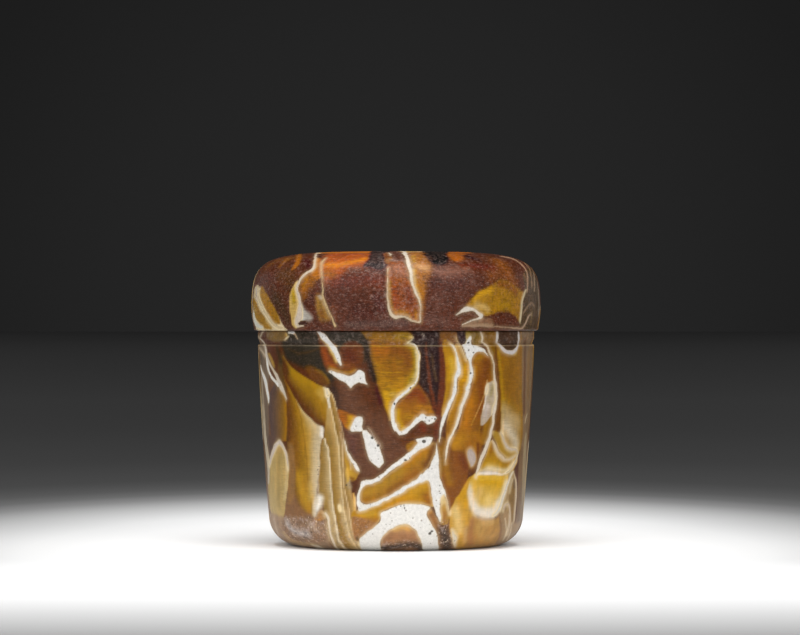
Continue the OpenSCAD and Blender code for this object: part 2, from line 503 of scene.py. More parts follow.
def lay_left(c):
    """The left of the wall: limb, forked vein, two big leaves, capsule and weathered foot."""
    c.pool([(-112,218), (-80,218), (-60,218), (-33,218), (-29,205), (-26,196), (-30,184), (-45,182),
        (-58,172), (-66,160), (-75,168), (-90,176), (-104,182), (-112,190)], (66,62,56), 4)
    # Left limb, its glass laid greyer: partly its own colour, partly a painted sheen of the side lamps at the
    # grazing edge
    c.pool([(-140,200), (-131,199), (-128,186), (-127,165), (-127,145), (-126,120), (-125,100), (-127,80),
        (-132,70), (-140,110), (-144,150)], (118,102,88), 1.5)
    c.blush([(-135,192), (-134,182)], 3, (96,88,76), 0.9)
    c.pool([(-127,165), (-122,158), (-119,150), (-118,135), (-117,115), (-116,104), (-122,100), (-126,95),
        (-127,120), (-127.5,140)], (112,84,66), 1.5)
    c.pool([(-114,190), (-110,182), (-107,160), (-105,148), (-105,120), (-106,100), (-109,100), (-109,130),
        (-110,146), (-113,156), (-116,166), (-118,178)], (100,77,54), 2.5)
    c.glow([(-119,196), (-115,182)], 4, (72,64,54), 0.8)
    c.fold([(-122,160), (-126.5,150), (-127.3,135), (-126,118), (-124,103)],
           [(-113,153), (-110,146), (-109,135), (-108.7,120), (-109.5,103)], (94,78,74), (158,114,46), 1.9)
    # Big leaf: brown at its left, golden inside, pale along its right edge
    inner = [(-112.3,166.5), (-103.5,150), (-98.5,138), (-94.5,125), (-92.5,112), (-91,98), (-89.5,85),
             (-88.5,70), (-87,56), (-85,42), (-84,27)]
    c.fold([(-112.8,167), (-110,155), (-109,140), (-108.5,120), (-107.9,98), (-107.6,80), (-107.8,60),
            (-109.5,42), (-110,26)],
           inner, (106,72,36), (170,130,58), 1.5, 1.6)
    c.fold(inner,
           [(-111.8,166), (-106.3,155.7), (-99.3,143.2), (-92.4,133.4), (-85.4,125.8), (-78.5,119.6),
            (-72.6,116.8), (-72.4,111), (-74.6,103), (-75.9,94), (-76,84), (-76.8,76), (-78.2,64),
            (-79.4,52), (-80.8,40), (-82,28)], (170,130,58), (198,180,144), 1.35)
    c.blush([(-77,112), (-78.5,104), (-79,92), (-79.5,80), (-80.5,66), (-81.5,52)], 7, (196,180,154), 0.6)
    c.blush([(-74.5,115.5), (-74.5,109)], 2.4, (226,220,212), 0.9)
    c.glow([(-97,68), (-95,56), (-91,44)], 7, (184,142,56), 0.75)
    c.glow([(-103.5,106), (-103,74)], 4, (128,92,54))
    c.glow([(-104,60), (-102,46)], 3.4, (150,112,62))
    c.glow([(-86,58), (-85.5,46)], 4, (196,164,96))
    c.pool([(-109,56), (-103.5,55), (-100,46), (-95.5,38), (-90,32), (-84,29.5), (-82,22), (-111,22)],
        (130,97,70), 3.5)
    c.thread([(-84,125.2,0.4), (-78,120,0.7), (-73,117.2,1), (-72.2,111.5,0.9), (-73.6,106,0.6)],
        (230,222,210), 0.95)
    # Smaller leaf over it, dark along its lower edge and paler to the right
    c.fold([(-113.5,186), (-112.5,168.2), (-106.3,155.7), (-99.3,143.2), (-92.4,133.4), (-85.4,125.8),
            (-78.5,119.6), (-72.3,116.6), (-71.6,108)],
           [(-113.2,187.6), (-107,179.3), (-100.7,173.7), (-93.8,168.9), (-85.4,164), (-78.5,159.8),
            (-71.6,156.8), (-67.6,152), (-66.8,143), (-65.3,134.8), (-63.2,125), (-61.6,117), (-59.4,108)],
            (90,59,27), (178,141,68), 0.9)
    c.blush([(-112,181), (-109,172)], 5, (92,62,36), 0.85)
    c.blush([(-78,153), (-73,148)], 5, (194,162,92), 0.7)
    c.blush([(-102,172), (-96,168), (-88,163), (-80,158)], 6, (164,126,44), 0.85)
    c.blush([(-86,152), (-78,142), (-72,130)], 6, (156,116,44), 0.6)
    c.blush([(-71,155), (-70,150)], 2, (206,184,126))
    c.blush([(-110,166), (-104,154), (-97,143)], 3, (100,67,34), 0.7)
    c.pool([(-90,177), (-82,176), (-74,170), (-68,164), (-66,159), (-72,160), (-80,164), (-86,168)],
        (112,78,44), 2.5)
    c.thread([(-80,174.5,0.4), (-74.5,171.5,0.8), (-70,167,1.2), (-67.2,161,1.2)], (148,108,44), 0.8, 1.8)
    c.glow([(-84,170), (-77,166)], 3.5, (104,70,42), 0.7)
    c.thread([(-108,196,0.3), (-98,191,0.8), (-86,192,0.8), (-76,196,0.3)], (92,70,50), 0.6, 1.4)
    # Tan capsule at the left
    c.pool([(-107.5,100), (-103,96), (-101,80), (-101,60), (-104,45), (-108,40), (-109,60), (-107.5,80)],
        (140,106,70), 3)
    c.pool([(-118,103), (-114.5,101), (-111,95), (-108.5,87), (-107.5,76), (-108.3,62), (-110.3,45),
        (-112,30), (-114,23), (-120,23), (-125,32), (-127,46), (-128,62), (-127,77), (-125,89), (-122,98)],
        (178,153,100), 1.2)
    c.blush([(-117,90), (-117.5,60), (-117,40)], 5, (152,128,80), 0.6)
    c.blush((-116,94), 3, (188,150,96), 0.7)
    c.thread([(-109.5,84,1), (-109.5,62,1.6), (-111.5,44,1.4)], (190,166,118))
    c.veins([(-126.5,78,0.5), (-124.8,87,1.2), (-122,95,1.6), (-119.5,100,1.9), (-117,102,1.7),
        (-114.5,100,1.3), (-112,96,1.1), (-110,90,1), (-108.5,83,0.8), (-108,74,0.4)], (208,194,180))
    c.thread([(-133,140,0.9), (-131.5,115,1.1), (-130.3,100,1.3), (-128.5,88,1.5), (-127.5,75,1.2),
        (-127.5,60,0.8)], (186,174,152))
    c.pool([(-127.5,108), (-122,105), (-123,96), (-125.5,86), (-126.5,95)], (98,80,72), 0.8)
    # Foot at the left, dulled and pitted
    c.pool([(-128,30), (-112,26), (-90,24), (-70,20), (-66,0), (-60,-8), (-90,-9), (-115,-6), (-128,8)],
        (154,128,104), 2.5)
    c.blush([(-122,24), (-118,10)], 4, (178,156,134), 0.9)
    c.pool([(-112,25), (-104,27), (-96,26), (-88,28), (-82,25), (-76,23), (-70,18), (-69,8), (-74,3),
        (-88,4), (-100,3), (-108,8), (-113,15)], (136,108,86), 2.5)
    c.blush([(-109,21), (-104,14), (-96,11), (-88,10)], 5.5, (172,164,160), 0.9)
    c.blush([(-86,20), (-80,14)], 4, (170,152,136))
    c.blush([(-80,20), (-74,12)], 5, (166,136,110), 0.9)
    c.thread([(-113,12,1.5), (-106,4.5,1.6), (-95,0.5,1.6), (-82,-0.5,1.2)], (172,144,110))
    # Painted shade along the bottom edge, where the glass meets the table
    c.glow([(-104,-4), (-85,-6), (-62,-8)], 3, (98,80,60), 0.9)
    c.pool([(-80.5,24), (-78.5,29.5), (-75,33), (-72,31.5), (-71,27), (-74,24)], (166,120,72), 0.8)
    c.weathered([(-113,26), (-100,28), (-84,28), (-70,22), (-68,5), (-90,1), (-108,6)], 1.0)
    c.weathered([(-128,26), (-112,24), (-108,4), (-118,4)], 0.4)
    # Fragments of the shoulder band
    c.pool([(-128,214), (-113,214), (-108,206), (-118,203), (-128,205)], (122,98,64), 1.5)
    c.blush((-109.5,209), 2.6, (214,174,98), 0.9)
    c.blush((-120,209), 4, (128,102,60), 0.9)


def lay_left_veins(c):
    """White glass at the left of the wall."""
    c.veins([(-136.5,206,0.8), (-132.5,202,0.7), (-130.6,196,0.8), (-129.6,189,1.1), (-127.5,183,1),
        (-124.2,176.3,1), (-120.5,170.3,1.1), (-118,165,1.6), (-116.3,160.5,2.2), (-114.5,156,2),
        (-112,151,1.2), (-110,146.5,0.8), (-109.4,144,0.4)], (206,194,178))
    c.veins([(-129.2,187,0.8), (-128.5,179,0.9), (-126.6,171.5,1), (-123,165,1.2), (-119,160.7,1.6),
        (-116.5,158,1.8)])
    c.veins([(-137,196.5,0.5), (-133,191.5,0.7), (-130,186.5,0.9)], (196,180,160))
    c.thread([(-127.5,191,1), (-124.5,184,1.4), (-121.5,177,1)], (154,122,66))
    c.veins([(-135.5,179,0.3), (-134.3,173,0.7), (-131.5,166,1.4), (-129.5,157,1.3), (-127.8,147,1),
        (-127.3,141,0.5)])
    c.thread([(-138,195,0.8), (-137,175,0.8), (-135.5,150,0.9), (-133,125,0.9)], (158,142,120), 0.7)
    c.thread([(-134.5,168,0.6), (-133,145,0.8), (-131,122,0.8)], (170,154,130), 0.8)
    c.veins([(-139,209,0.8), (-137,206.5,1), (-135,209,0.9), (-133.5,212,0.8), (-130,214,0.7)],
        (176,160,138))
    c.white([(-108,211), (-107,214.5), (-103,215.5), (-101,212.5), (-102,210), (-105,210.3)])
    c.veins([(-102,211,0.9), (-100,208,0.7), (-98.5,204.5,0.4)], ROSE)
    c.thread([(-112,204.5,0.6), (-109,206,0.8), (-107,208.5,0.7)], CREAM)
    # Foot of the big leaf
    c.pool([(-79,50), (-74.5,49.5), (-72.3,45.7), (-73.6,38.7), (-76.4,34.6), (-79.5,29), (-82.3,27.5),
        (-83,34.6), (-82,41.5)], (206,192,168), 3)
    c.glow([(-76,46), (-76.6,41), (-79,35)], 2.2, (232,228,220), 0.85)
    c.thread([(-76.3,84,0.4), (-77,74,0.6), (-77.8,62,0.7), (-78,52,0.8)], (208,194,170), 0.75, 1.4)
    c.bubbles((-77.4,77,0.7), (-77.3,72.5,0.6))
    c.veins([(-71,31.5,1), (-68.2,26,1.3), (-66.8,18,1.1), (-65.3,9,1.1), (-63,2.5,1.1), (-60,-3,1),
        (-56,-6.8,0.8)], (222,208,188))
    c.veins([(-84,-1,0.5), (-78,-2.8,1.1), (-71.5,-5.3,0.6)], (220,204,184))


def lay_pleats(c):
    """The golden strip with fine pale pleats, left of the middle."""
    lines = [
        [(-72.2,108), (-74.6,102), (-76,94), (-76,84), (-76.6,76), (-77.5,64), (-77.5,52),
         (-73.5,47), (-72.4,40), (-72,32), (-69,24), (-67.5,14), (-64.6,4), (-58,-5)],
        [(-71.8,106), (-70.2,100), (-68.1,95.7), (-67.2,88), (-66.2,78), (-65,60), (-63.6,42),
         (-61.6,30.4), (-59.8,19.3), (-57.9,6.8), (-53.5,-1.6), (-47.5,-7.2)],
        [(-67.4,148), (-65.3,135), (-63.2,125), (-61.6,117), (-58.6,104.3), (-57,90), (-56.1,75),
         (-55,60), (-53.2,44), (-50.7,26), (-47.5,12), (-43.5,2.6), (-37.5,-6.4)],
        [(-55.6,112), (-53.9,102), (-53,90), (-52.4,75), (-52,60), (-49.8,46), (-47,32), (-44,16),
         (-39.5,3), (-32,-5.4)],
        [(-68.2,152.5), (-66.3,151.3), (-63.2,147), (-59.5,136.2), (-55.9,122), (-53.2,112),
         (-50.7,101), (-48,90), (-45.5,83), (-45,74), (-46,60), (-44,50), (-42,40), (-41.5,26),
         (-41,14), (-37,2), (-28,-6.5)]]
    c.glow([(-63,155), (-58,145), (-54.5,133), (-51,120)], 5.5, (66,57,54), 0.85)
    c.fold(lines[0], lines[1], (142,112,62), (192,172,134), 1.7)
    c.fold(lines[1], lines[2], (142,111,60), (186,158,110), 1.9)
    c.fold(lines[2], lines[4], (134,103,54), (182,150,100), 1.5)
    c.fold(lines[2][4:], lines[3], (146,117,70), (180,152,108), 1.5)
    c.blush([(-52,60), (-50,44), (-47,30)], 2, (142,116,78), 0.6)
    c.weathered([(-76,26), (-60,24), (-46,22), (-42,8), (-34,-6), (-62,-6), (-68,6)], 0.55, 6)
    for points in (lines[0][8:], lines[1][6:], lines[2][8:], lines[3][6:]):
        c.glow([(u - 2.2, v) for u, v in points], 2.2, (188,164,128), 0.5)
    c.pool([(-50,92), (-46,85), (-41,78.5), (-37.3,72.5), (-39,68), (-43,63.5), (-46.5,66), (-48,75),
        (-50,84)], (180,140,60))
    c.blush([(-46,66), (-42,64.5)], 1.8, (118,80,42), 0.9)
    c.glow([(-48,64), (-46,57)], 2.4, (164,146,118), 0.9)
    c.thread([(-42.5,51,0.8), (-41.3,42,1.4), (-41.5,30,1.2)], (214,166,92))
    c.pool([(-49.5,74), (-48,75), (-47.2,69), (-47.8,63), (-49,64)], (198,158,80))
    # Painted glint: a small bright spot, laid as pale glass
    c.pool([(-57.5,38), (-55.8,39), (-55,34), (-56.4,32)], (210,176,104), 0.8)
    for points, colour, wide in ((lines[1], (216,200,170), 0.75), (lines[2], (208,184,142), 0.75),
                                 (lines[3], (200,174,134), 0.6), (lines[4][:10], (206,182,140), 0.6)):
        c.thread([(u, v, wide + 0.35 * ramp(-v, -40, 0)) for u, v in points], colour, 0.95, 0.6)
    c.thread([(-68.5,156,1), (-68.3,150,1.5), (-67.6,143,1.1), (-66.2,136,0.8)], (224,214,196), 0.95)
    c.bubbles((-67.9,148.5,0.7), (-67.6,144.8,0.6), (-67,78,0.7))
    c.veins([(-51,104,0.4), (-49.6,96,0.7), (-47.5,90,0.9), (-44.5,84.5,1.3), (-41.5,80,1.6), (-38.8,76,1.5),
        (-36.8,72.8,0.8)])
    c.veins([(-70.5,156.5,0.7), (-69.2,153,1), (-68.6,149,0.8)], (222,212,196))
    # Painted glint: the bright heart of that spot, laid as white glass
    c.veins([(-56.8,38.5,0.3), (-56,36,0.6), (-55,33.5,0.3)], (240,212,160))


def lay_middle(c):
    """The middle of the wall: orange finger, dark glass, gold panel and its lobe."""
    c.pool([(-55,160), (-30,158), (-17,148), (-6,122), (0,108), (14,104), (36,108), (40,116), (30,98),
        (8,90), (-6,78), (-20,68), (-32,64), (-37,70), (-45,84), (-50,100), (-55,125)], PLUM, 7, 0.85)
    c.blush([(-30,152), (-20,140)], 10, (90,58,44), 0.7)
    c.blush([(-44,110), (-43,92)], 6, (100,72,66), 0.7)
    c.blush([(30,116), (10,104)], 6, (98,62,44))
    # Orange finger
    c.pool([(-79.5,216), (-77.5,206), (-76,195), (-74,185), (-70.5,176.5), (-67.5,172.5), (-64,171.5),
        (-56,170), (-48,168.5), (-42,171), (-38,175), (-34,182), (-33,195), (-40,202), (-52,200), (-58,190),
        (-60,198), (-66,203), (-72,210), (-76,216)], (104,66,43), 1.6)
    c.blush([(-75,203), (-74,196)], 3, (112,72,50), 0.9)
    c.blush([(-72,194), (-69,184), (-62,177)], 4, (140,78,30), 0.95)
    c.blush([(-74,206), (-68,199.5), (-63.5,191), (-59.5,183)], 2, (188,150,64), 0.95)
    c.blush([(-66,176), (-58,173), (-48,171.3), (-42,173.5)], 2.6, (162,116,38), 0.95)
    c.blush([(-54,178), (-44,178)], 4, (124,78,36), 0.85)
    c.blush([(-48,190), (-44,186)], 5, (94,58,46), 0.7)
    c.blush([(-36,190), (-33,180)], 4, (110,72,48), 0.7)
    # Small amber chip
    c.pool([(-57.5,134), (-50,131.8), (-44,129.5), (-39,127.5), (-37,124), (-42,117), (-45,114), (-50,116),
        (-54,122), (-57.5,129)], (148,92,48))
    c.blush([(-45,126), (-46,118)], 4, (186,142,50), 0.95)
    c.blush((-52,125), 3, (158,94,50))
    # Gold panel
    c.pool([(-34,218), (-31,208), (-28,200), (-25.5,189), (-22.5,177), (-19.3,164), (-15.8,151), (-12,139.5),
        (-8,130), (-5.5,124), (-2,132), (-1,140), (4,145), (10,149.5), (16,154.5), (20,159.5), (22,165),
        (23,176), (24,186), (23,191), (20.5,197), (18,200.5), (13,203), (16.5,206), (15,209.5), (11,213.5),
        (5,218)], (146,106,26))
    c.blush([(-23,198), (-16,192), (-8,195)], 8, (156,98,6), 0.9)
    c.blush([(1,193), (11,190), (13,180)], 8, (118,76,12))
    c.blush([(-8,180), (2,172)], 8, (142,96,32), 0.6)
    c.blush([(-14,163), (-4,158), (9,160)], 6, (168,122,18), 0.85)
    c.blush([(-11,150), (-8,140), (-6,131)], 4, (190,146,52), 0.9)
    c.blush([(-4,150), (4,150), (11,154), (17,161)], 4, (190,154,82), 0.85)
    c.blush([(16,199), (20,194), (21.5,185), (20.5,172), (17,162)], 4.5, (168,146,82), 0.85)
    c.blush([(21,192), (22,182), (21,170)], 2, (196,180,128), 0.7)
    c.blush([(-24,208), (-8,207)], 5, (138,100,50))
    c.blush([(2,208), (12,208)], 4, (152,122,52))
    c.blush((14.5,206.5), 2.2, STRAW, 0.9)
    for points in ([(-15,171.3), (-6,171.8), (5,171.4)], [(-13,183.4), (-4,183), (7,183.6)],
                   [(-9,156), (-7,160), (-5.5,156.5)], [(-20,178), (-12,178.4)], [(2,166), (12,166.5)],
                   [(-2,189), (9,188.6)]):
        c.thread([(u, v, 0.3) for u, v in points], (184,142,66), 0.6, 0.5)
    # Lobe under the panel
    c.pool([(0,138), (6,143.5), (13,150), (19,156), (23,158), (27,153), (31,146), (35,138), (38.5,130),
        (38,127), (30,128.5), (25,130), (21,126), (17,120), (12,114), (6,111.5), (2,113), (-1,120),
        (-2,130)], (146,98,16), 1)
    c.blush([(12,149), (22,151), (27,144)], 6, (124,70,20), 0.9)
    c.blush([(24,136), (33,134)], 4.5, (170,116,16), 0.9)
    c.blush([(1.5,132), (3,122), (8,114)], 3.6, (186,146,56), 0.9)
    c.blush([(10,127), (17,126)], 4, (166,122,40))
    # Dark glass at both sides of the panel
    c.glow([(-30,203), (-28.5,190), (-25.5,177), (-22,165)], 3.2, (60,54,50), 0.95)
    c.glow([(-19,155), (-15,142)], 3, (72,44,34), 0.7)
    c.pool([(17,218), (46,218), (47,202), (46,190), (46,170), (44,150), (41,133), (37.5,140), (33,150),
        (28,156), (24,160), (24,170), (25,180), (25,190), (22,198), (14,203), (18,207)], (62,52,46), 1.4)
    c.weathered([(24,200), (40,200), (39,160), (34,152), (26,160)], 0.22)
    c.glow([(25,118), (28,115)], 3, (128,64,38))
    c.weathered([(-36,200), (-27,200), (-22,172), (-32,172)], 0.2)
    c.thread([(30,202,0.6), (30.5,190,1), (32,176,1.3), (34,160,1.6), (37,146,2), (38.8,134,2)], (112,66,38),
        0.85, 1.2)
    c.blush([(39.5,196), (40,175), (40.5,158)], 2.6, (60,48,44))
    c.thread([(36,190,0.8), (38,176,1), (41,162,1.2)], (98,78,62), 0.7, 1.2)
    c.pool([(43,203), (49,203), (49,185), (49.5,165), (49,150), (47,135), (44,122), (42,110), (40,103),
        (38,115), (40,130), (43,150), (44.5,175)], (104,63,39), 1.6)
    c.thread([(25,211,0.4), (27,210,0.7), (28.5,207.5,0.5)], (180,164,150), 0.9)
    c.pool([(45,218), (62,218), (64,206), (60,202), (46,203)], (126,86,44), 1.6)


def lay_middle_veins(c):
    """White glass in the middle of the wall."""
    c.veins([(-80,216,0.9), (-76.5,211.5,1.9), (-72.5,207,3), (-69,203.5,2.7), (-65.5,199.5,2.4),
        (-62,195,2.5), (-59.5,190.5,2.3), (-57.7,186,2.1), (-56.2,182,1.5), (-54.8,178.5,0.6)])
    c.white([(-68,172.8), (-65,173.3), (-58,171), (-50,168.8), (-45,168.4), (-41,171), (-37,174.3),
        (-33,172.5), (-31.3,170), (-30.3,164), (-28,158.5), (-31,160.2), (-35,161), (-38.5,161), (-43,158.5),
        (-45,155.8), (-47,157.3), (-50,160.5), (-56,164), (-62,168), (-66,171)])
    c.white([(-39,127), (-36,127.5), (-33.5,125.5), (-32.8,121), (-33.7,117), (-33.3,114), (-35,112.5),
        (-40,112.5), (-44.5,112), (-46,114), (-45,118), (-42.5,122), (-41,125.7)])
    c.white([(-34,113.5), (-31,114), (-28.5,113), (-26,110), (-22,106), (-19,101.5), (-16,96), (-14.8,91),
        (-13.3,86), (-12.3,81.5), (-14.3,79), (-17,76), (-20,78), (-25,82), (-28,88), (-30,95), (-32,103),
        (-33.5,109)])
    c.veins([(-28,116,0.4), (-25,112.5,0.8), (-21,107,0.8), (-17,101,0.8), (-14.5,96,0.4)], (168,146,132))
    # Rim of the gold panel, on round the lobe
    c.veins([(11,200.7,0.4), (16,200.8,0.7), (19,199,0.9), (21.4,195.5,0.8), (23,190,0.8), (23.4,184,0.8),
        (22.9,177,0.8), (21.8,169,0.8), (20.2,162.9,0.9), (17.3,158.8,1.1), (13.6,155.6,1.2), (10,152.2,1.4),
        (6,148.8,1.6), (2,145,1.6), (-1.2,141.2,1.9), (-3,136,1.9), (-3.6,130,1.9), (-3.2,124,1.9),
        (-1.9,118,2.1), (0.8,113,2.2)])
    c.white([(-1.6,116.5), (-0.6,113.5), (1,110.8), (3.6,108.6), (6.5,109), (10,110.2), (14,113.8),
        (18,117.6), (21.5,121), (24.5,124), (21,127.2), (18.5,124), (15,120), (11,116.5), (7.5,114.2),
        (4.6,113.2), (2.4,115.5), (1,119), (-0.5,121)])
    c.white([(18.5,119.5), (22,127), (25,130.5), (28,130.5), (31,128), (35,128), (39.3,127.5), (40.8,125.3),
        (38,122.5), (36,121), (32,119.5), (29.5,121), (26,123), (23,122.7), (20.5,121)])
    c.thread([(11,201,0.6), (14,203,0.6), (16.5,205.8,0.8), (15.5,208.5,0.6)], (206,190,150))
    c.bubbles((-1.6,140.2,1.6), (14.5,155.6,1.1), (28,130.3,0.6), (30.3,126.7,0.8), (32.9,122.9,0.9),
        (36,125.2,0.8), (33.6,127.4,0.5), (39.2,124.8,1.2), (61,157,0.9), (62.6,163,0.6), (-24,106.5,1.7),
        (-18,98.5,1.6), (-40,118,0.8,1.1), (-43,115.5,0.7), (-36.7,161.3,0.8), (-58,186,0.8), (30,124.5,0.7),
        (32.5,123.7,0.7))


def lay_right(c):
    """The right of the wall: two stripes, the long amber capsule and the column at the limb."""
    c.pool([(47.5,203), (55,201), (58,198), (61,190), (62.5,181), (62,172), (60,165), (58,155), (55,145),
        (51,136), (48,128), (46,130), (48,142), (49.5,155), (50,170), (49,187)], (168,124,34), 1.1)
    c.blush([(55,184), (57,176), (56,166)], 4, (198,158,68), 0.9)
    c.blush([(53.5,156), (51,142)], 3, (162,120,48), 0.7)
    c.blush([(60,186), (61,176)], 1.8, (210,176,112))
    c.pool([(59.5,200), (63.5,198), (68,190), (72,184), (73.5,175), (73.5,166), (72,157), (69,148), (65,139),
        (62.5,130), (60,120), (57,112), (53,103), (51,108), (51,120), (53,130), (57,141), (61,151), (62,161),
        (64,172), (63.5,182), (61,191)], HONEY)
    c.blush([(69,178), (68,166)], 4.5, (196,144,20), 0.9)
    c.blush([(58,134), (55,118)], 4, (162,114,22), 0.9)
    c.blush([(71,160), (73,172)], 1.6, (204,168,84), 0.7)
    c.blush([(64,194), (67,188)], 3, (156,116,34))
    c.blush([(51.5,112), (52,122)], 1.8, (120,80,30), 0.7)
    # Long amber capsule
    c.pool([(77,187), (81,191.5), (86,192), (91,189.5), (94.5,184), (96.5,178), (97.8,170), (98.3,163),
        (95,162), (91.5,160.5), (90,155), (89.5,148), (88,140), (86,130), (85,120), (85,110), (84,102),
        (58,102), (62,112), (65,125), (68,138), (72,149), (76,160), (77.5,170), (76.5,180)], (146,97,24))
    c.blush([(80,185), (87,189)], 4, (154,112,28), 0.9)
    c.blush([(91,180), (89,168)], 6.5, (116,74,26), 0.85)
    c.blush([(79,176), (78,164)], 2.6, (178,128,38))
    c.blush([(96,176), (96.5,166)], 2, (124,96,46))
    c.blush([(84,162), (86,146), (84,130)], 5, (122,76,28))
    c.blush([(75,144), (70,126), (66,112)], 5.5, (172,114,18), 0.9)
    c.blush([(82,118), (78,106)], 5, (126,86,44), 0.85)
    c.pool([(85,120), (90,123), (94,128), (96.5,126), (95,115), (93,103), (85,102)], (144,104,46), 1)
    c.blush([(86,118), (84,104)], 2, (104,68,40))
    c.pool([(91,159.5), (93,160.5), (96,162), (99,161), (100.3,155), (100.3,145), (98.8,137), (97,131),
        (94,127.5), (91,123), (88,120), (85.5,119), (85,122), (86,129), (87.5,136), (89.5,143), (90.5,150),
        (90.5,156)], (176,160,142))
    c.blush([(96.5,157), (95,150)], 3, (152,138,98), 0.85)
    c.blush([(92,138), (89,128)], 2.6, (190,176,166), 0.9)
    c.blush([(93,144), (97,138)], 2.4, (168,152,122), 0.7)
    # Dark strips and band fragments
    c.pool([(61,218), (70,218), (70,203), (64,202)], (62,50,40), 1.2)
    c.pool([(69.5,218), (75,218), (74.5,206), (71,205)], (148,124,56), 1)
    c.pool([(75,218), (86,218), (86,204), (83,199), (77,200), (75.5,206)], (126,100,48), 1.2)
    c.pool([(87,218), (101,218), (99.5,200), (98.5,188), (96.5,180), (93.5,190), (89.5,198), (87,204)],
        (132,97,48), 1)
    c.glow([(82,209), (83,203)], 2, (136,108,62), 0.8)
    c.pool([(99,214), (100,200), (98.5,185), (100,170), (101,155), (101,140), (99.5,128), (98,115), (96,102),
        (103.5,102), (104.8,115), (104.8,130), (104.8,150), (103.8,165), (102.3,180), (100.8,195)],
        (112,77,44), 1)
    # Column at the right
    c.pool([(99.8,202), (103,200), (108,195), (115,193), (121,196), (124,202), (125,218), (127,218),
        (126.5,190), (126,165), (126,150), (127,130), (127,112), (126,98), (122,93), (117,94), (112,96),
        (108,102), (105,110), (105,130), (104.8,150), (103.8,165), (102,182), (101,195)], (142,102,38))
    c.blush([(103,192), (105,168), (107,146), (107.5,128)], 2.6, (162,124,46), 0.9)
    c.blush([(115,175), (116,155)], 6, (136,96,34), 0.7)
    c.blush([(108,134), (114,128), (122,122)], 9, (176,152,110))
    c.blush([(109,118), (114,112), (118,106), (120,100)], 10, (196,180,154), 0.95)
    c.blush([(107.5,122), (107,110)], 1.8, (214,184,142))
    c.blush([(120,190), (106,196)], 2, (166,132,70), 0.7)
    c.blush([(124.3,165), (124.5,135)], 1.8, (150,114,60), 0.7)
    c.pool([(101.5,218), (102.5,209), (101.5,204.5), (104.5,200), (108,196), (111.5,194.7), (115,194),
        (118,195.5), (120.6,199), (121.8,205), (122.3,218)], (76,60,50), 0.8)
    c.blush([(112,212), (114,202)], 3, (92,66,44), 0.6)
    # Right limb, its glass laid paler and greyer: partly its own colour, partly a painted sheen of the side
    # lamps at the grazing edge
    c.pool([(126.5,218), (142,214), (142,150), (138,110), (134,60), (133,30), (128,12), (118,10), (121,30),
        (122.5,60), (123.5,85), (125,96), (127,110), (127,130), (126.3,150), (126.3,190)], (132,108,82), 1)
    c.blush([(129,205), (129,185), (128.5,160), (128,132)], 2.8, (98,70,52), 0.9)
    c.thread([(137,208,0.8), (137,190,0.8), (137,170,0.8), (136,150,0.9), (134.5,125,0.9), (133,105,0.8)],
        (160,142,112), 0.85)
    c.thread([(133,200,1), (132.5,170,1.1), (132,145,1)], (136,106,72), 0.9)
    c.thread([(131.5,131,0.5), (130,126,0.6), (129,120.5,0.4)], (178,160,130), 0.9)
    c.thread([(130,112,0.8), (129,95,1.3), (128,75,1.4), (127.5,50,1.3), (127,30,1)], (154,138,110), 0.9)
    c.thread([(126,98,1.2), (124.5,80,1.8), (124,58,2), (123,36,1.8), (121.5,20,1.3)], (120,96,70), 0.9)


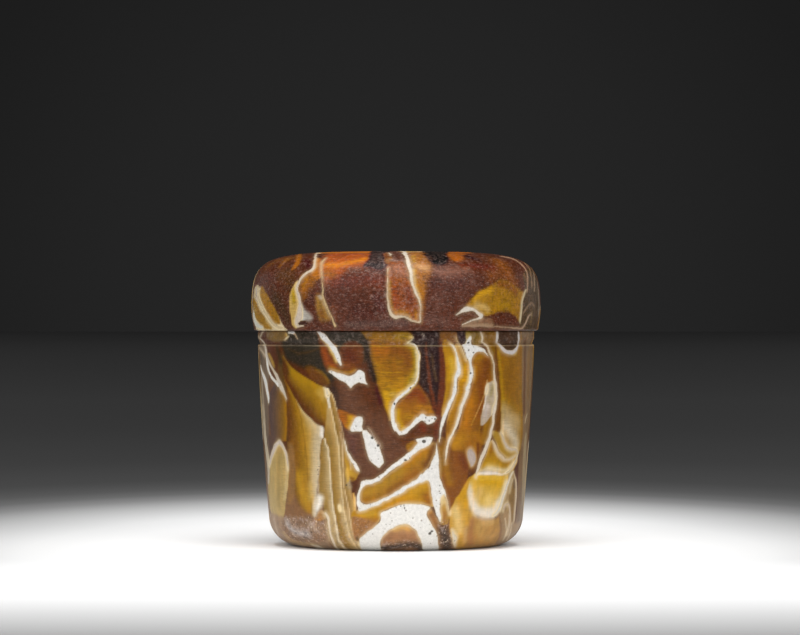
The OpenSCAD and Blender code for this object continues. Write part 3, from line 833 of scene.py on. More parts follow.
def lay_right_veins(c):
    """White glass at the right of the wall."""
    c.veins([(54,200.5,0.4), (57.5,198,0.8), (60,192.5,0.9), (61.8,186,1.2), (62.8,179,1.6), (63,174,2),
        (62.3,170.5,2.4), (60.3,166.5,1.9), (59.2,161,1.7), (59,156,1.9), (58.2,151,2), (56,145,1.8),
        (53,138.5,1.9), (50.1,131.5,1.9), (47.6,124.5,1.6), (45.8,117.5,1.3), (44.5,111,1), (43.6,105,0.7),
        (43.5,101.5,0.3)])
    c.white([(66,199.3), (69.5,200.3), (71,204), (74.5,208), (75.8,206.5), (75,202), (76,199.3), (81,198.3),
        (86,196), (90,192.5), (93.3,187.5), (91,189), (87.5,191.8), (82,192), (79,190), (77,187), (75.7,183),
        (76.5,177), (77.6,170), (76.5,164), (73.5,157.5), (71.3,151.5), (69.5,156), (72,162), (73.5,169),
        (73.3,177), (72.3,183), (70.5,187), (69.3,191), (67.5,195.5)])
    c.veins([(73.5,160,1.7), (71.3,152,1.6), (69.3,146,1.6), (66.8,140,1.7), (64.6,133.5,1.6),
        (62.8,127,1.5), (60.6,119.5,1.3), (57.4,112,1.2), (54.4,106,1.2), (52.2,100.5,1.1), (51,94.5,1),
        (50.3,89,0.9), (50,84.5,0.7), (49.9,80.5,0.3)], (230,220,206))
    c.veins([(60,207,0.5), (61.2,203.5,0.7), (63,200,0.7), (65.5,195.5,0.6), (68,189,0.7), (70.8,184,0.5)],
        (206,186,150))
    c.veins([(83.5,215,0.5), (85.7,210.5,0.9), (86.4,206,1), (86,202.3,1.1), (88.5,200.2,1), (91.2,197.5,1),
        (93.3,193,0.9), (95.8,187,0.8), (97.6,181,0.7), (98.2,173,0.8), (98.6,166,1), (99.3,161.5,1.2),
        (100.2,155,0.8), (100.7,148,0.8), (100.3,142,1), (98.9,136.5,1.5), (97.9,130,1.5), (97.2,122,1.3),
        (95.7,114.5,1.4), (94,108,1.5), (91.8,101,1.6), (89,94,1.7), (86,87,1.7), (83.7,80.5,1.6),
        (82,75,1.4), (80.6,70.5,1), (79.6,66.5,0.4)], (218,204,186))
    c.thread([(91,164,0.4), (90,157,0.5), (88,149,0.5), (84.5,139,0.5), (79.5,128,0.4), (75,118,0.2)],
        (190,150,108), 0.8, 0.6)
    c.thread([(90.5,158,0.6), (90,150,0.8), (89,142,0.8), (87,134,0.6)], (222,212,200), 0.8)
    c.veins([(91.5,159.5,0.4), (91,155.5,0.9), (90.3,151,0.6)], (220,206,190))
    c.veins([(100.3,216,0.5), (101.6,210.5,1.3), (101.2,205.5,1.2), (100.8,201.8,0.9), (103.8,198.8,1.2),
        (106.8,195,1.7), (110,192.6,2), (113.5,191.7,2.2), (117,191.8,2), (119.8,194,1.6), (121.7,198.5,1),
        (122.7,204.5,0.9), (122.7,210,0.9), (122,215,0.4)], (206,198,196))
    c.veins([(71,206,0.5), (70.5,202,0.8), (70,200,0.8)], (206,190,150))
    c.bubbles((72.5,201,1.2), (73,193.6,1), (77.5,191.2,1.1), (77.5,197.5,0.9,0.6), (74.6,171.5,1.3),
        (75.5,177.7,1,0.8), (58,157,1.1,0.8), (71.5,184.5,0.8))


def lay_foot(c):
    """The lower middle of the wall: gold fingers, the white arch and the white spike."""
    c.pool([(50,104), (60,112), (84,110), (84,95), (81,84), (77,76), (72,78), (70,86), (68,92), (60,92.5),
        (54,93), (52,99)], (156,108,26), 5)
    c.blush([(60,101), (64,104)], 5, (180,128,16), 0.9)
    c.blush([(72,100), (79,104)], 4, (146,98,32))
    c.blush([(82,100), (82.5,84)], 2.2, (102,66,38), 0.9)
    c.pool([(52,99), (56,93), (62,91.5), (68,90), (71.5,84), (72,72), (70,62), (66,53), (60,45), (56,37),
        (53.5,31), (52,38), (50,46), (47.5,56), (45.5,64), (45.5,75), (48,82), (50.5,88)], (126,82,36), 1.3)
    c.blush([(66,86), (70,76)], 4, (108,66,32))
    c.blush([(50,82), (51,72), (54,62)], 4.5, (150,106,44), 0.9)
    c.blush([(70,60), (66,50)], 2.5, (146,98,40), 0.7)
    c.pool([(42,104), (47,106), (50,100), (49,88), (47,76), (45,66), (43.5,72), (43,85), (42,95)],
        (138,100,44), 1)
    c.blush([(46,106), (44,100)], 3, (112,74,40))
    # Gold at the lower right
    c.pool([(53.5,31), (57,38), (61,46), (66,53), (70,61), (76,68), (80,66), (72.5,56), (72,48), (74,40),
        (77,33), (80,27), (77,18), (76,8), (76,-2), (66,-7), (58,-4), (55,8), (54,20)], (188,144,66), 1.1)
    c.blush([(64,46), (69,52), (70,40)], 4.5, (186,140,48), 0.85)
    c.blush([(73,74), (75,66)], 3.5, (172,122,36), 0.9)
    c.blush([(59,34), (62,24), (63,14)], 6, (212,182,122), 0.9)
    c.blush([(70,14), (70,2)], 4, (190,154,108))
    c.blush([(74.5,34), (73,26)], 2.2, (168,128,62))
    c.pool([(78,69.5), (85,70), (95,70), (103,70), (110,70), (113.5,71), (112.5,62), (109.5,52), (106,42),
        (102,33), (97,28), (90,26.5), (84,28), (78,33), (75,40), (72.5,48), (72,57), (75,64)], (200,160,72))
    c.blush([(86,64), (98,63), (105,60)], 6, (196,150,44), 0.85)
    c.blush([(84,52), (80,46)], 6, (206,172,108))
    c.blush([(92,44), (98,40)], 7, (214,184,116), 0.85)
    c.blush([(73.5,57), (74.5,46), (77.5,37)], 4, (212,196,172), 0.85)
    c.blush([(79,33), (86,30.5), (94,30), (100,33), (104,41)], 6.5, (218,207,190), 0.9)
    c.blush([(104,43), (107,52), (110,62)], 4, (214,200,168), 0.85)
    c.blush([(82,66), (92,66.5), (104,66)], 3, (206,166,70))
    c.pool([(95,103), (99,98), (103,90.5), (110,84.5), (116,86), (120.5,90), (121.5,84), (118.5,77),
        (114.5,71), (108,69.5), (103,71.5), (98,73), (90,74.5), (84,74), (87,82), (91,92)], (168,126,44))
    c.blush([(92,78), (102,76)], 4, (200,166,92), 0.9)
    c.blush([(97,99), (95,92)], 3, (142,96,30))
    c.blush([(109,80), (116,82)], 3, (160,120,52), 0.7)
    c.pool([(96.5,112), (100,103), (103,94), (108,88), (113,85.5), (119,88), (123,92), (119,93.5), (113,95),
        (109,101), (105,110)], (162,128,62))
    c.pool([(113,70), (118,72), (114.5,58), (113,45), (111,30), (106,28), (104,34), (108,45), (111,56)],
        (156,130,92))
    c.pool([(118,70), (120.5,60), (120.5,48), (119.5,35), (118,20), (114,12), (112,25), (113,45), (114.5,58),
        (116.5,66)], (132,102,60))
    c.blush([(118,64), (118.5,57)], 1.6, (90,74,66))
    c.glow([(109.5,36), (108,28)], 2, (116,86,56), 0.7)
    c.pool([(76,28), (84,25), (92,24), (100,25), (104,28), (106,15), (105,5), (101,-4), (75,-8), (68,-5),
        (73,10)], (170,130,76), 2.4)
    c.glow([(76,22), (74.5,12), (75,0)], 4, (160,112,76), 0.75)
    c.glow([(88,12), (94,6)], 7, (182,142,84), 0.7)
    c.glow([(92,14), (100,14)], 6, (170,130,78), 0.7)
    c.glow([(86,20), (96,22)], 4, (196,160,104))
    c.glow([(82,18), (84,8)], 3.5, (190,150,88), 0.7)
    c.glow([(86,-3), (100,-4)], 4, (150,116,70), 0.7)
    c.pool([(104,28), (112,31), (118,20), (128,24), (126,10), (116,2), (106,-4), (100,-4), (104,8)],
        (150,124,92), 1.4)
    c.thread([(103,28,0.6), (105,18,1), (104,8,1), (100,0,0.7)], (134,98,72), 0.8, 1.4)
    c.thread([(109,26,0.6), (110.5,13,0.8), (107,3,0.6)], (192,172,142), 0.9)
    c.thread([(116,22,0.6), (114,10,0.8), (110,3,0.5)], (186,166,140), 0.9)
    # Long gold finger
    c.pool([(20,92), (28,97), (33,100), (38,101), (40,98), (38.5,90), (35,83), (29,74), (22,67), (14,61),
        (6,56), (-3,51), (-12,46), (-20,42.5), (-30,41), (-36,43.5), (-37,50), (-35,56), (-30,59.5),
        (-22,60.5), (-14,65), (-5,72), (5,79), (13,86)], (152,110,54), 1)
    c.blush([(-32,50), (-20,56), (-7,64), (4,73)], 5, (166,126,56), 0.85)
    c.blush([(-30,44), (-22,45)], 3, (158,110,46), 0.7)
    c.blush([(10,80), (20,88), (27,93)], 4.5, (176,122,40), 0.9)
    c.blush([(-6,52), (8,62), (20,71)], 4, (136,92,52), 0.85)
    c.blush([(29,78), (34,87), (38,97)], 3.4, (110,74,50), 0.85)
    c.pool([(11,98), (16,102), (21,101.5), (23.5,99), (21,95.5), (15,92)], (148,106,48), 1.8)
    # Band under it
    c.pool([(-43,32), (-36,33.5), (-26,36.5), (-18,40), (-8,45), (3,50.5), (14,57.5), (24,63), (30,65),
        (33,61), (34,55), (35.5,46), (37.5,38), (33,38), (26,40.5), (15,40.5), (5,40), (-5,37), (-15,32),
        (-16,26), (-20,21), (-28,23), (-36,25), (-43,27)], (174,128,48))
    c.blush([(-8,40), (8,45)], 4, (190,136,48), 0.85)
    c.blush([(16,51), (27,58)], 4, (188,142,58), 0.85)
    c.blush([(30,48), (33,42)], 4, (148,98,52), 0.9)
    c.blush([(-34,29), (-22,31)], 3, (184,144,62))
    c.blush([(-30,24), (-20,24)], 2.6, (150,104,62))
    c.pool([(-43,27), (-36,25.5), (-28,23.5), (-19,20), (-25,14), (-32,9), (-37,3), (-41,5), (-43,15)],
        (152,110,72), 1.2)
    c.blush([(-38.5,6), (-37.5,-2)], 2, (84,68,50))
    c.weathered([(-42,26), (-30,24), (-22,20), (-32,10), (-40,8)], 0.6)
    # Inside of the arch
    c.pool([(-14,8), (-6,14), (0,17.5), (7,19.5), (13,18.8), (18,15), (22,10), (25,3), (28,-4), (33,-12),
        (-14,-12), (-14.5,0)], (170,128,94))
    c.blush([(-2,14.5), (6,17), (13,15)], 3.4, (202,158,92), 0.9)
    c.blush([(-12,5), (2,8), (16,7)], 3.5, (156,114,84))
    # Painted shade along the bottom edge, where the glass meets the table
    c.blush([(-14,-4), (4,-2), (18,-1), (30,-7)], 5.5, (80,69,62), 0.95)
    c.weathered([(-12,2), (10,4), (24,2), (30,-8), (-12,-9)], 0.9)
    c.pool([(31,32), (34,36), (36,33.5), (39,28), (42,23.5), (44.5,20), (50,20), (52.5,22), (54,10), (57,1),
        (58,-9), (43,-9), (42.5,3), (41,10), (38,16), (34,24)], (146,104,68), 1)
    c.blush([(36,34), (33,31)], 1.6, (186,132,72))
    c.blush([(47,14), (50,4), (51,-4)], 6.5, (74,66,61), 0.95)
    c.blush([(45,17), (49,18)], 3, (112,82,62), 0.7)
    c.weathered([(42,20), (53,20), (57,-6), (43,-6)], 1.0)
    c.pool([(44,47), (47.5,50), (50.5,42), (52.5,32), (52,24), (50,20), (45.5,21), (44.3,30), (44.3,40)],
        (172,132,72))
    c.blush([(46.5,47), (47,41)], 2.4, (214,186,130), 0.9)
    c.blush([(48.5,30), (48.5,24)], 2.4, (150,106,64))


def lay_foot_veins(c):
    """White glass at the lower middle of the wall."""
    c.veins([(36.8,105.3,0.5), (34.5,103.8,2), (31.5,102,3.6), (27.5,100.7,4.2), (23,97.3,3.2),
        (18,92.6,2.7), (12,87.6,2.6), (5,82.4,2.8), (-2,77.8,2.3), (-9,72.3,1.9), (-15,67.3,2), (-20,64,2.3),
        (-25,62.3,2.2), (-29.5,61.6,2.4), (-33,59.5,2.2), (-35.7,55.5,1.5), (-37.3,50.5,1.2),
        (-37.9,45.5,1.4), (-37.3,40.5,2), (-36,37,2.4), (-33,36.2,2.4), (-28,37.8,2.2), (-22,39.6,2),
        (-15,42.5,1.8), (-8,46,1.7), (-1,49.8,1.8), (4,52.3,2), (8,55.3,2.2), (13,58.2,2), (18,60.8,2.2),
        (23,64,2.6), (28,68.3,3)])
    c.white([(-38,46), (-38.4,39), (-38,32.8), (-34,33), (-28,35), (-21,37.8), (-23,40.4), (-29,39.6),
        (-34,40.8), (-36.3,43)], (226,222,214))
    c.white([(-36.6,56), (-35.2,62.6), (-31,63.2), (-27,62), (-31,59), (-34,56)])
    c.white([(20,104.5), (26,106.8), (32,107), (37.3,105.5), (35,102), (30,99), (24,99)])
    c.white([(40.5,101), (41.5,93), (42.8,84), (43.3,74), (44,66), (46.5,58.5), (49.3,52), (50.8,45),
        (49.3,47.5), (47.5,49.3), (45.2,47.5), (44.2,42), (44,34), (44.8,26), (44.3,21.5), (41.8,26),
        (39.3,32), (37,39), (35.7,47), (34.7,56), (33,62), (29.5,63.2), (25,61.5), (23,63), (27.5,68.5),
        (31.5,74), (35,81), (38.5,88.5)])
    c.white([(24,66), (27,70), (29.5,74), (31.5,75.5), (33,71), (30,66)])
    c.veins([(50,49,0.6), (51.2,43,0.8), (52.6,36,0.7), (53.8,30,0.4)], (214,192,160))
    # The arch
    c.white([(-15.8,30.8), (-8,34.5), (0,38), (8,40), (16,40.4), (24,40.2), (30,38.5), (34.3,36),
        (31.5,33.3), (30.8,29.5), (33.5,23.5), (37.5,16.5), (40.8,10), (41.8,3), (43,-6), (38,-10), (29,-9),
        (25.5,0), (23.3,6.5), (20.5,12.8), (16.5,17), (12,19.3), (6.5,19.7), (0,17.8), (-6,14.3), (-12,9.3),
        (-15,4), (-15.7,-2), (-15,-9), (-22,-9), (-30,-8), (-35,-5), (-36.5,1), (-36,6), (-31,10), (-26,14),
        (-20,18.7), (-16,23), (-15.2,27)], (233,230,224))
    c.veins([(59,-4,0.6), (58.6,1,1.6), (58.6,6,2.2), (57.5,10.5,1.4), (56,14,0.5)], (222,210,188))
    # Edges of the gold shells
    c.thread([(82,71,1.2), (88,73.2,2.8), (96,74.4,3.2), (103,73.6,2.6), (109,73.6,2), (114,77,1.6),
        (118,83,1)], (216,200,170), 0.8, 2.6)
    c.thread([(81.5,69,0.8), (86,70,1.5), (91,70.6,1.9), (96,70.8,1.9), (101,70.3,1.5), (105,69.6,1.1),
        (109,70.3,0.9), (113.5,73.2,0.9)], (222,212,200), 0.95, 1.1)
    c.veins([(110,70.6,0.5), (113.5,73,0.7), (117.5,78.5,0.7), (120.8,85.5,0.8), (122.3,91,0.5)],
        (210,194,168))
    c.veins([(96,104,0.7), (98.7,99,1.3), (101,93,1.4), (104.8,88,1.4), (109,84.9,1.2), (113,84.3,1.1),
        (117,86.3,0.9), (121,89.8,0.6)], (208,188,160))
    c.veins([(104.5,112,0.5), (107,106,1), (109.5,100,1.2), (112.5,96,1.6), (116,94.6,1.7), (119.5,94,1.3),
        (122,91.8,0.7)], (202,186,168))
    c.thread([(72,54,0.8), (73.2,45,1.2), (76,37.5,1.6), (80,31,2.4), (86,27.8,3), (92,27.4,3), (98,29,2.6),
        (102,34,2)], (206,192,170), 0.7, 2.8)
    c.glow([(78,38), (82,33), (90,31), (98,32), (103,38)], 5.5, (222,212,198), 0.8)
    c.glow([(75,52), (76,42)], 3.5, (216,202,182))
    c.veins([(97,28.5,0.5), (100.5,30.7,1), (103.6,36,1.2), (106.3,43.5,1.2), (109,51.5,1.1), (111.3,59,1),
        (114,66,0.8), (117.5,73,0.5)], (214,206,192))
    c.veins([(118,71,0.6), (119.7,64,0.8), (120.3,54,0.8), (119.8,44,0.8), (119,34,0.7), (117.8,22,0.5)],
        (194,174,150))
    c.veins([(117,66,0.5), (115.3,60,0.6), (114,52,0.4)], (186,168,140))
    c.veins([(107.5,33,0.4), (109.3,38.3,0.9), (111.5,40.3,1.1), (113.3,37,0.8), (114,30,0.7),
        (113.3,20,0.6), (111,9,0.5)], (196,176,158))
    c.white([(71.3,91.5), (74,95.5), (77,93.5), (79,88.5), (79.5,83.5), (77.8,79), (75.5,77), (74,80.5),
        (72.3,85)], (184,168,158))
    c.bubbles((28,102.5,2.1), (9.8,84,1.6), (13.5,86,0.8), (43.5,58.3,0.9), (44,50.7,0.9), (43.6,40,0.8),
        (8.6,36,0.9,1.8), (4.5,38,0.9), (34,10.4,1.6,1.3), (35.8,12.8,1.3,1.1), (-1.5,78.2,0.7),
        (-10,19.5,0.8), (99.5,26.7,0.9), (-49.5,58.5,1), (-46.3,58,0.9), (-78,70,0.9), (-78.3,74,0.9),
        (-68,145,0.9,0.6))


def lay_wear(c):
    """Where polishing scratches show most: the upper half of the wall and the dark glass."""
    c.scuffed([(-36,212), (-30,190), (-20,155), (-8,138), (10,140), (24,156), (26,190), (20,212)], 0.8)
    c.scuffed([(-110,205), (-80,205), (-30,205), (-20,160), (-15,100), (-40,80), (-60,130), (-75,170),
        (-110,185)], 0.7)
    c.scuffed([(22,212), (46,212), (46,150), (40,110), (10,95), (-10,85), (-10,110), (28,150)], 0.8)
    c.scuffed([(46,212), (96,212), (98,150), (84,110), (55,105), (48,150)], 0.3)
    c.scuffed([(100,200), (126,200), (126,110), (106,120)], 0.3)
    c.scuffed([(-110,100), (-60,100), (-55,10), (-110,20)], 0.2)
    c.scuffed([(-20,80), (60,90), (60,0), (-30,0)], 0.12)


def lay_wall(c):
    """All the chips of the wall, from the dark glass up to the white veins."""
    lay_wear(c)
    for lay in (lay_left, lay_pleats, lay_middle, lay_right, lay_foot,
                lay_left_veins, lay_middle_veins, lay_right_veins, lay_foot_veins):
        lay(c)


def lay_lid(c):
    """The chips of the lid's front."""
    # Left shoulder and fan
    c.glow([(-126,280), (-115,285), (-104,286)], 9, (116,78,50), 0.8)
    c.glow([(-120,264), (-110,270), (-104,258)], 10, (96,70,52), 0.8)
    c.glow([(-121,246), (-113,234), (-109,224)], 9, (78,63,52), 0.9)
    c.thread([(-118,276,1), (-112,282,1.6), (-106,286,1.4)], (140,92,52), 0.7, 1.6)
    c.pool([(-99,291), (-95.5,290), (-95.5,284), (-98,279), (-101.5,275.5), (-104,274.5), (-102.5,278),
        (-100,283)], (156,98,26), 1.6)
    c.glow([(-90,284), (-87,278)], 4, (76,49,38), 0.85)
    c.pool([(-141,257), (-136,257), (-132,251), (-127,243), (-122,235), (-117,226), (-113,218), (-111,213),
        (-141,213), (-146,222), (-147,232), (-146,245)], (196,178,142))
    c.blush([(-140,254), (-139,246)], 3, (192,182,174), 0.9)
    c.blush([(-141,222), (-136,217)], 4, (214,210,192), 0.9)
    c.pool([(-134.5,257), (-130,250.5), (-126,243), (-121,234), (-117,225), (-116.5,220.5), (-122,220),
        (-127,228), (-131,236), (-134.5,244), (-136,250)], (156,114,44), 1.6)
    c.blush([(-131,240), (-126,232)], 2.6, (160,112,36))
    c.pool([(-143,246), (-139.5,240.5), (-136,233), (-131,226), (-126.5,219.5), (-124.5,215.5), (-131,216),
        (-136,219.5), (-140,226), (-142.5,236)], (158,118,52), 1)
    c.blush([(-142,238), (-140,232)], 2, (172,146,96))
    c.blush([(-130,224), (-126,219)], 3, (196,176,134), 0.7)
    # Curved chip: pale and gold at its left, amber and dark at its right
    c.pool([(-99,263), (-102.5,258), (-105.5,251), (-106.5,243), (-106,235), (-105,226), (-103.5,219),
        (-100,216.5), (-97,222), (-97,236), (-98,246), (-98,254)], (190,158,96))
    c.blush([(-102.5,252), (-102,243)], 3, (176,142,50), 0.95)
    c.pool([(-94,268), (-88,270.5), (-82,272), (-79,268), (-83,258), (-88,250), (-93,245), (-95,250),
        (-96,257), (-95.5,263)], (146,94,38), 4)
    c.blush([(-90,266), (-92,258)], 3, (156,108,34))
    c.glow([(-86,252), (-84,242)], 5, (88,60,52), 0.8)
    c.pool([(-95.5,240), (-92,235.5), (-89,232), (-86,229), (-83.5,226), (-86,223.3), (-92,222.7),
        (-98,222.5)], (166,160,150), 3)
    c.blush([(-96,234), (-93,226)], 4, (196,190,182))
    c.pool([(-98.5,221.5), (-95,222.9), (-91,222.6), (-89,221), (-92,219), (-96,218.5)], (74,54,34), 0.8)
    c.pool([(-81,285), (-78,286), (-75,284), (-74,276), (-75,268), (-80,265), (-84,271), (-82,278)],
        (168,106,40), 1.2)
    c.glow((-75.5,287.5), 2, (56,39,34), 0.9)
    c.pool([(-79.5,249), (-75,248), (-72,242), (-69,234), (-66,226), (-70,223.5), (-76,225), (-78.5,232),
        (-80,240)], (148,112,60), 3.4)
    c.blush([(-75,232), (-73,227)], 3.2, (126,82,48))
    c.blush([(-77,249), (-75.5,246)], 2, (172,162,154), 0.9)
    # Orange glow over the second vein
    c.pool([(-73,284), (-70,289.3), (-60,291), (-45,291), (-30,291), (-24,290), (-22,287), (-26,281),
        (-30,278), (-38,277), (-46,276), (-52,272), (-58,267), (-64,262), (-71,261), (-73.5,268), (-74,275)],
        (162,86,28), 6)
    c.blush([(-70,279), (-58,279), (-44,282), (-28,286)], 4.5, (198,122,18), 0.95)
    c.blush([(-67,288.5), (-50,289.5), (-34,290.3)], 2.2, (142,66,16), 0.85)
    c.blush([(-70,271), (-62,268)], 4, (160,104,58))
    c.pool([(-24,291), (-15,291), (-11,287), (-10,282), (-11,277), (-17,274.5), (-24,277), (-32,278),
        (-28,283)], (58,34,22), 2)
    c.pool([(-12,291), (-8,291), (-4.7,287), (-4,283), (-7,280.5), (-10.5,282)], (122,76,26))
    # Painted highlight: the overhead lamp's grainy sheen on the shoulder, laid as pinkish-grey glass
    c.glow([(-4,284), (2,276), (6,282)], 5, (146,116,104), 0.85)
    # Grainy glass over the shoulder, whose grit also places painted glints of the overhead lamp's sheen
    c.weathered([(-28,288), (30,288), (26,250), (22,224), (-20,228), (-26,250)], 0.4, 5)
    c.weathered([(-74,290), (-22,290), (-36,274), (-56,264), (-73,258)], 0.22, 5)
    c.glow([(-20,264), (-16,258)], 6, (116,68,56), 0.7)
    c.glow([(-20,245), (-14,236)], 6, (80,50,44), 0.7)
    c.glow([(-50,246), (-34,238)], 12, (84,58,52))
    c.glow([(-60,262), (-44,262), (-28,266), (-14,262)], 8, (108,58,44))
    c.glow([(-40,232), (-24,228)], 8, (78,52,48))
    c.glow([(-126,268), (-118,258)], 6, (92,56,42))
    c.glow([(-64,236), (-60,226)], 4, (112,72,56), 0.8)
    c.glow([(-50,219), (-20,220), (10,220)], 4, (98,80,75), 0.7)
    # Tongue between the two upright veins
    c.pool([(-8.5,278), (-8.5,250), (-7,238), (-3,230), (3,229), (9,228.5), (15,225), (23.5,221.5),
        (23.8,235), (22,243), (18,252), (14.5,262), (12,272), (8,281), (0,282)], (136,78,44))
    c.blush([(0,274), (6,270)], 6, (156,108,88), 0.7)
    c.blush([(-1,252), (0,238)], 4, (144,76,20), 0.9)
    c.blush([(12,254), (14,242)], 4.5, (112,64,44), 0.85)
    c.blush([(-6.3,262), (-6,246), (-4,236)], 2, (160,116,28), 0.9)
    c.blush([(-1,232), (6,231.5), (14,228)], 2.6, (170,118,48), 0.9)
    c.blush([(20,232), (21,226)], 2.4, (168,118,52))
    # Golden side of the thick vein
    c.pool([(13.5,291), (20,291), (28,289), (33,283), (36,276), (34,268), (31,260), (29,250), (28,240),
        (27,230), (25.5,222), (25,238), (22,248), (18,258), (16,268), (14.5,280)], (152,100,54), 4.5)
    c.blush([(18,274), (19,264), (21,255), (24,246)], 2.4, (188,138,54), 0.9)
    c.blush([(22,278), (30,276)], 4, (200,152,102), 0.85)
    c.blush([(17,288), (18,282)], 2.6, (170,128,60))
    c.blush([(26,262), (27,250)], 3, (168,110,50), 0.7)
    # Black and orange flecks along the shoulder
    c.pool([(30,291), (38,291), (51,291), (52.5,286), (49,281), (42,279.5), (37,281), (33,285)], (42,36,34),
        2.5)
    c.blush([(33,288), (36,284)], 2.4, (76,62,50))
    c.pool([(51.5,291), (60,291), (69,289.7), (68,286), (62,282.5), (56,284), (52.5,287)], (156,92,48), 3)
    c.glow([(70,288), (76,286)], 4, (52,40,36), 0.9)
    c.glow([(72,287), (82,284)], 4, (70,50,42), 0.8)
    # Painted highlight: the overhead lamp's grainy sheen on the shoulder, laid as pinkish-grey glass
    c.glow([(42,272), (58,272), (70,276)], 6, (136,98,84), 0.75)
    c.glow([(66,279), (84,278), (98,276)], 4.5, (100,54,38), 0.75)
    c.glow([(36,262), (50,256), (64,262)], 7, (84,52,46), 0.5)
    c.glow([(46,248), (40,236)], 8, (100,72,64))
    c.glow([(30,225), (52,222)], 5, (106,80,72))
    c.glow([(104,282), (110,274), (114,266), (118,258)], 10, (128,80,38), 1.0)
    c.glow([(96,268), (104,270), (110,264)], 7, (122,76,38), 0.8)
    # Golden wing
    c.pool([(70.5,237), (76,245), (82,251), (90,255.5), (97,259), (103,263), (110,263), (116,259), (122,255),
        (127.5,251), (126,243), (124.8,232), (123,223), (118,228.5), (112,231.5), (105,231.8), (98,230),
        (90,227.5), (86,229), (80,234), (75,236.5)], (152,112,42), 2.5)
    c.blush([(80,246), (87,251), (94,253)], 4, (194,146,54), 0.9)
    c.blush([(103,260), (112,258), (120,252)], 4, (124,78,38))
    c.blush([(80,239), (88,237), (92,234)], 4, (188,158,104), 0.85)
    c.blush([(100,240), (112,238)], 5, (162,124,46), 0.7)
    c.blush([(120,240), (121,228)], 2.4, (148,108,40), 0.7)
    c.pool([(87,226.5), (92,227.8), (99,230), (106,231.5), (113,231), (118,228), (122,223), (122,218),
        (96,218), (90,222)], (92,60,38), 1.2)
    c.pool([(66,219), (76,221.5), (84,224), (90,226.5), (96,224), (96,218.5), (80,218.3)], (128,96,76), 1.2)
    c.pool([(66,221), (72,222.5), (79,224), (82,227.5), (79,231.5), (73,232.3), (68,231), (62,228)],
        (98,68,56), 1)
    # Right limb
    c.pool([(127,268), (129.5,256), (128,244), (126,230), (124.5,218), (135,213), (146,216), (148,240),
        (146,262), (139,272), (133,276)], (84,69,53), 1.2)
    c.blush([(136,228), (135,222)], 3, (118,98,66))
    c.blush([(128,270), (132,262)], 3, (120,88,62))
    # The first stroke, pale along the crown's edge, is a painted reflection at the rim
    for points, colour in (
            ([(104,287.8,0.4), (114,286,0.6), (121,283,0.6), (126.5,278.7,0.6), (130,273.5,0.7),
              (131.6,268,0.6), (131.6,260,0.6), (131,251,0.4)], (176,142,116)),
            ([(128,281.5,0.5), (133.5,275,0.6), (135.3,266,0.6), (136,256,0.5)], (146,118,92)),
            ([(131,281,0.5), (137,273.5,0.6), (138.6,262,0.6), (138.3,252,0.5)], (156,134,110)),
            ([(124,285,0.5), (133,280.5,0.7), (140,270.5,0.9), (142.5,257,1), (143.3,242,1),
              (143,228,1), (142,218,0.6)], (150,136,118)),
            ([(127,230,0.4), (129.5,234.3,0.8), (132.7,238.3,0.8), (136.5,240.7,0.8),
              (139,236.5,0.4)], (150,124,100))):
        c.thread(points, colour, 0.85, 0.6)
    # White glass
    c.veins([(-79,291,0.9), (-80.4,288,1.2), (-81,284,1.1), (-81.5,280,1.1), (-82.5,276,1.3),
        (-85,273.3,1.2), (-89,271.2,1.1), (-92.5,268.7,1.1), (-95,265.3,1.1), (-97.5,261.2,1.3),
        (-99,257,1.3), (-98.8,253,1.5), (-97.3,248,1.4), (-96.2,243,1.5), (-95.8,238,1.8), (-96.2,233,2.3),
        (-97,228,3), (-98.5,223.5,2.6), (-99.5,220,1.5), (-97,217.5,1), (-92,218.7,0.6)], (212,196,178))
    c.veins([(-70,286,0.3), (-73.6,282,0.6), (-74.9,277.5,0.5), (-74.3,270,0.5), (-73.6,262,0.6),
        (-73.3,255,0.7), (-73.6,249,1), (-72.4,245,1), (-70.5,240,0.9), (-68,234,0.9), (-65,228,0.8),
        (-62.5,222,0.8), (-60.3,217,1)], (208,184,144))
    c.veins([(-138,250,0.4), (-136.5,243,1), (-133,235,1.1), (-128.5,228,1.2), (-124,221.5,1.4),
        (-119,217.5,1.4), (-113,215.6,0.8)], (212,194,160))
    c.veins([(-142.5,232,0.7), (-141.5,224,1.3), (-138.5,218.5,2), (-133,215.8,1.3)], (220,216,200))
    c.veins([(-8.3,276,0.4), (-8.9,265,0.6), (-8.8,255,0.7), (-8.5,247,0.8), (-8,240,1), (-6.6,234,1.3),
        (-4.3,229.3,1.7), (-1,227,1.8), (3,227.6,1.3), (8,227.3,1), (12.5,225.3,1), (17,223,0.9),
        (21,221.6,0.9), (24.3,221.2,0.5)], (214,198,176))
    c.veins([(5,291.5,0.6), (9,290.3,1.7), (11,286,1.8), (12.5,281,1.9), (14,275,1.8), (15,269,1.6),
        (16,263,1.3), (17.7,257,1.2), (20.2,250,1.1), (22.6,245,1.1), (24.4,240,0.9), (24.7,235,0.6),
        (24.4,228,0.7), (24.4,221.5,0.8)], (222,210,194))
    c.veins([(-7.5,291.2,0.6), (-4.2,288.7,0.8)], (206,196,182))
    c.veins([(59.5,229.5,0.5), (63,231.3,1), (67,233.7,1.9), (71,235,2.5), (75,235,2), (79,233.3,1.3),
        (82.5,230.7,1.6), (85.3,228.2,2), (83.8,225.8,1.5), (80,224.3,0.9), (76,223.2,0.7), (71,221.7,0.7),
        (66,219.7,0.4)], (220,210,198))
    c.veins([(130,254.5,0.5), (128.3,250,0.9), (126.9,245,0.8), (125.9,238,0.8), (125.2,231,0.9),
        (124.3,224.5,0.9), (124.2,220,0.4)], (200,184,152))
    c.veins([(66,217.7,0.4), (80,217.7,0.6), (95,217.3,0.5), (110,216.8,0.5), (118,216,0.7),
        (124.5,215.7,0.9), (128.3,218.3,0.9), (130.7,223,0.8), (133,228,0.7), (136,230.7,0.6)],
        (176,150,130))


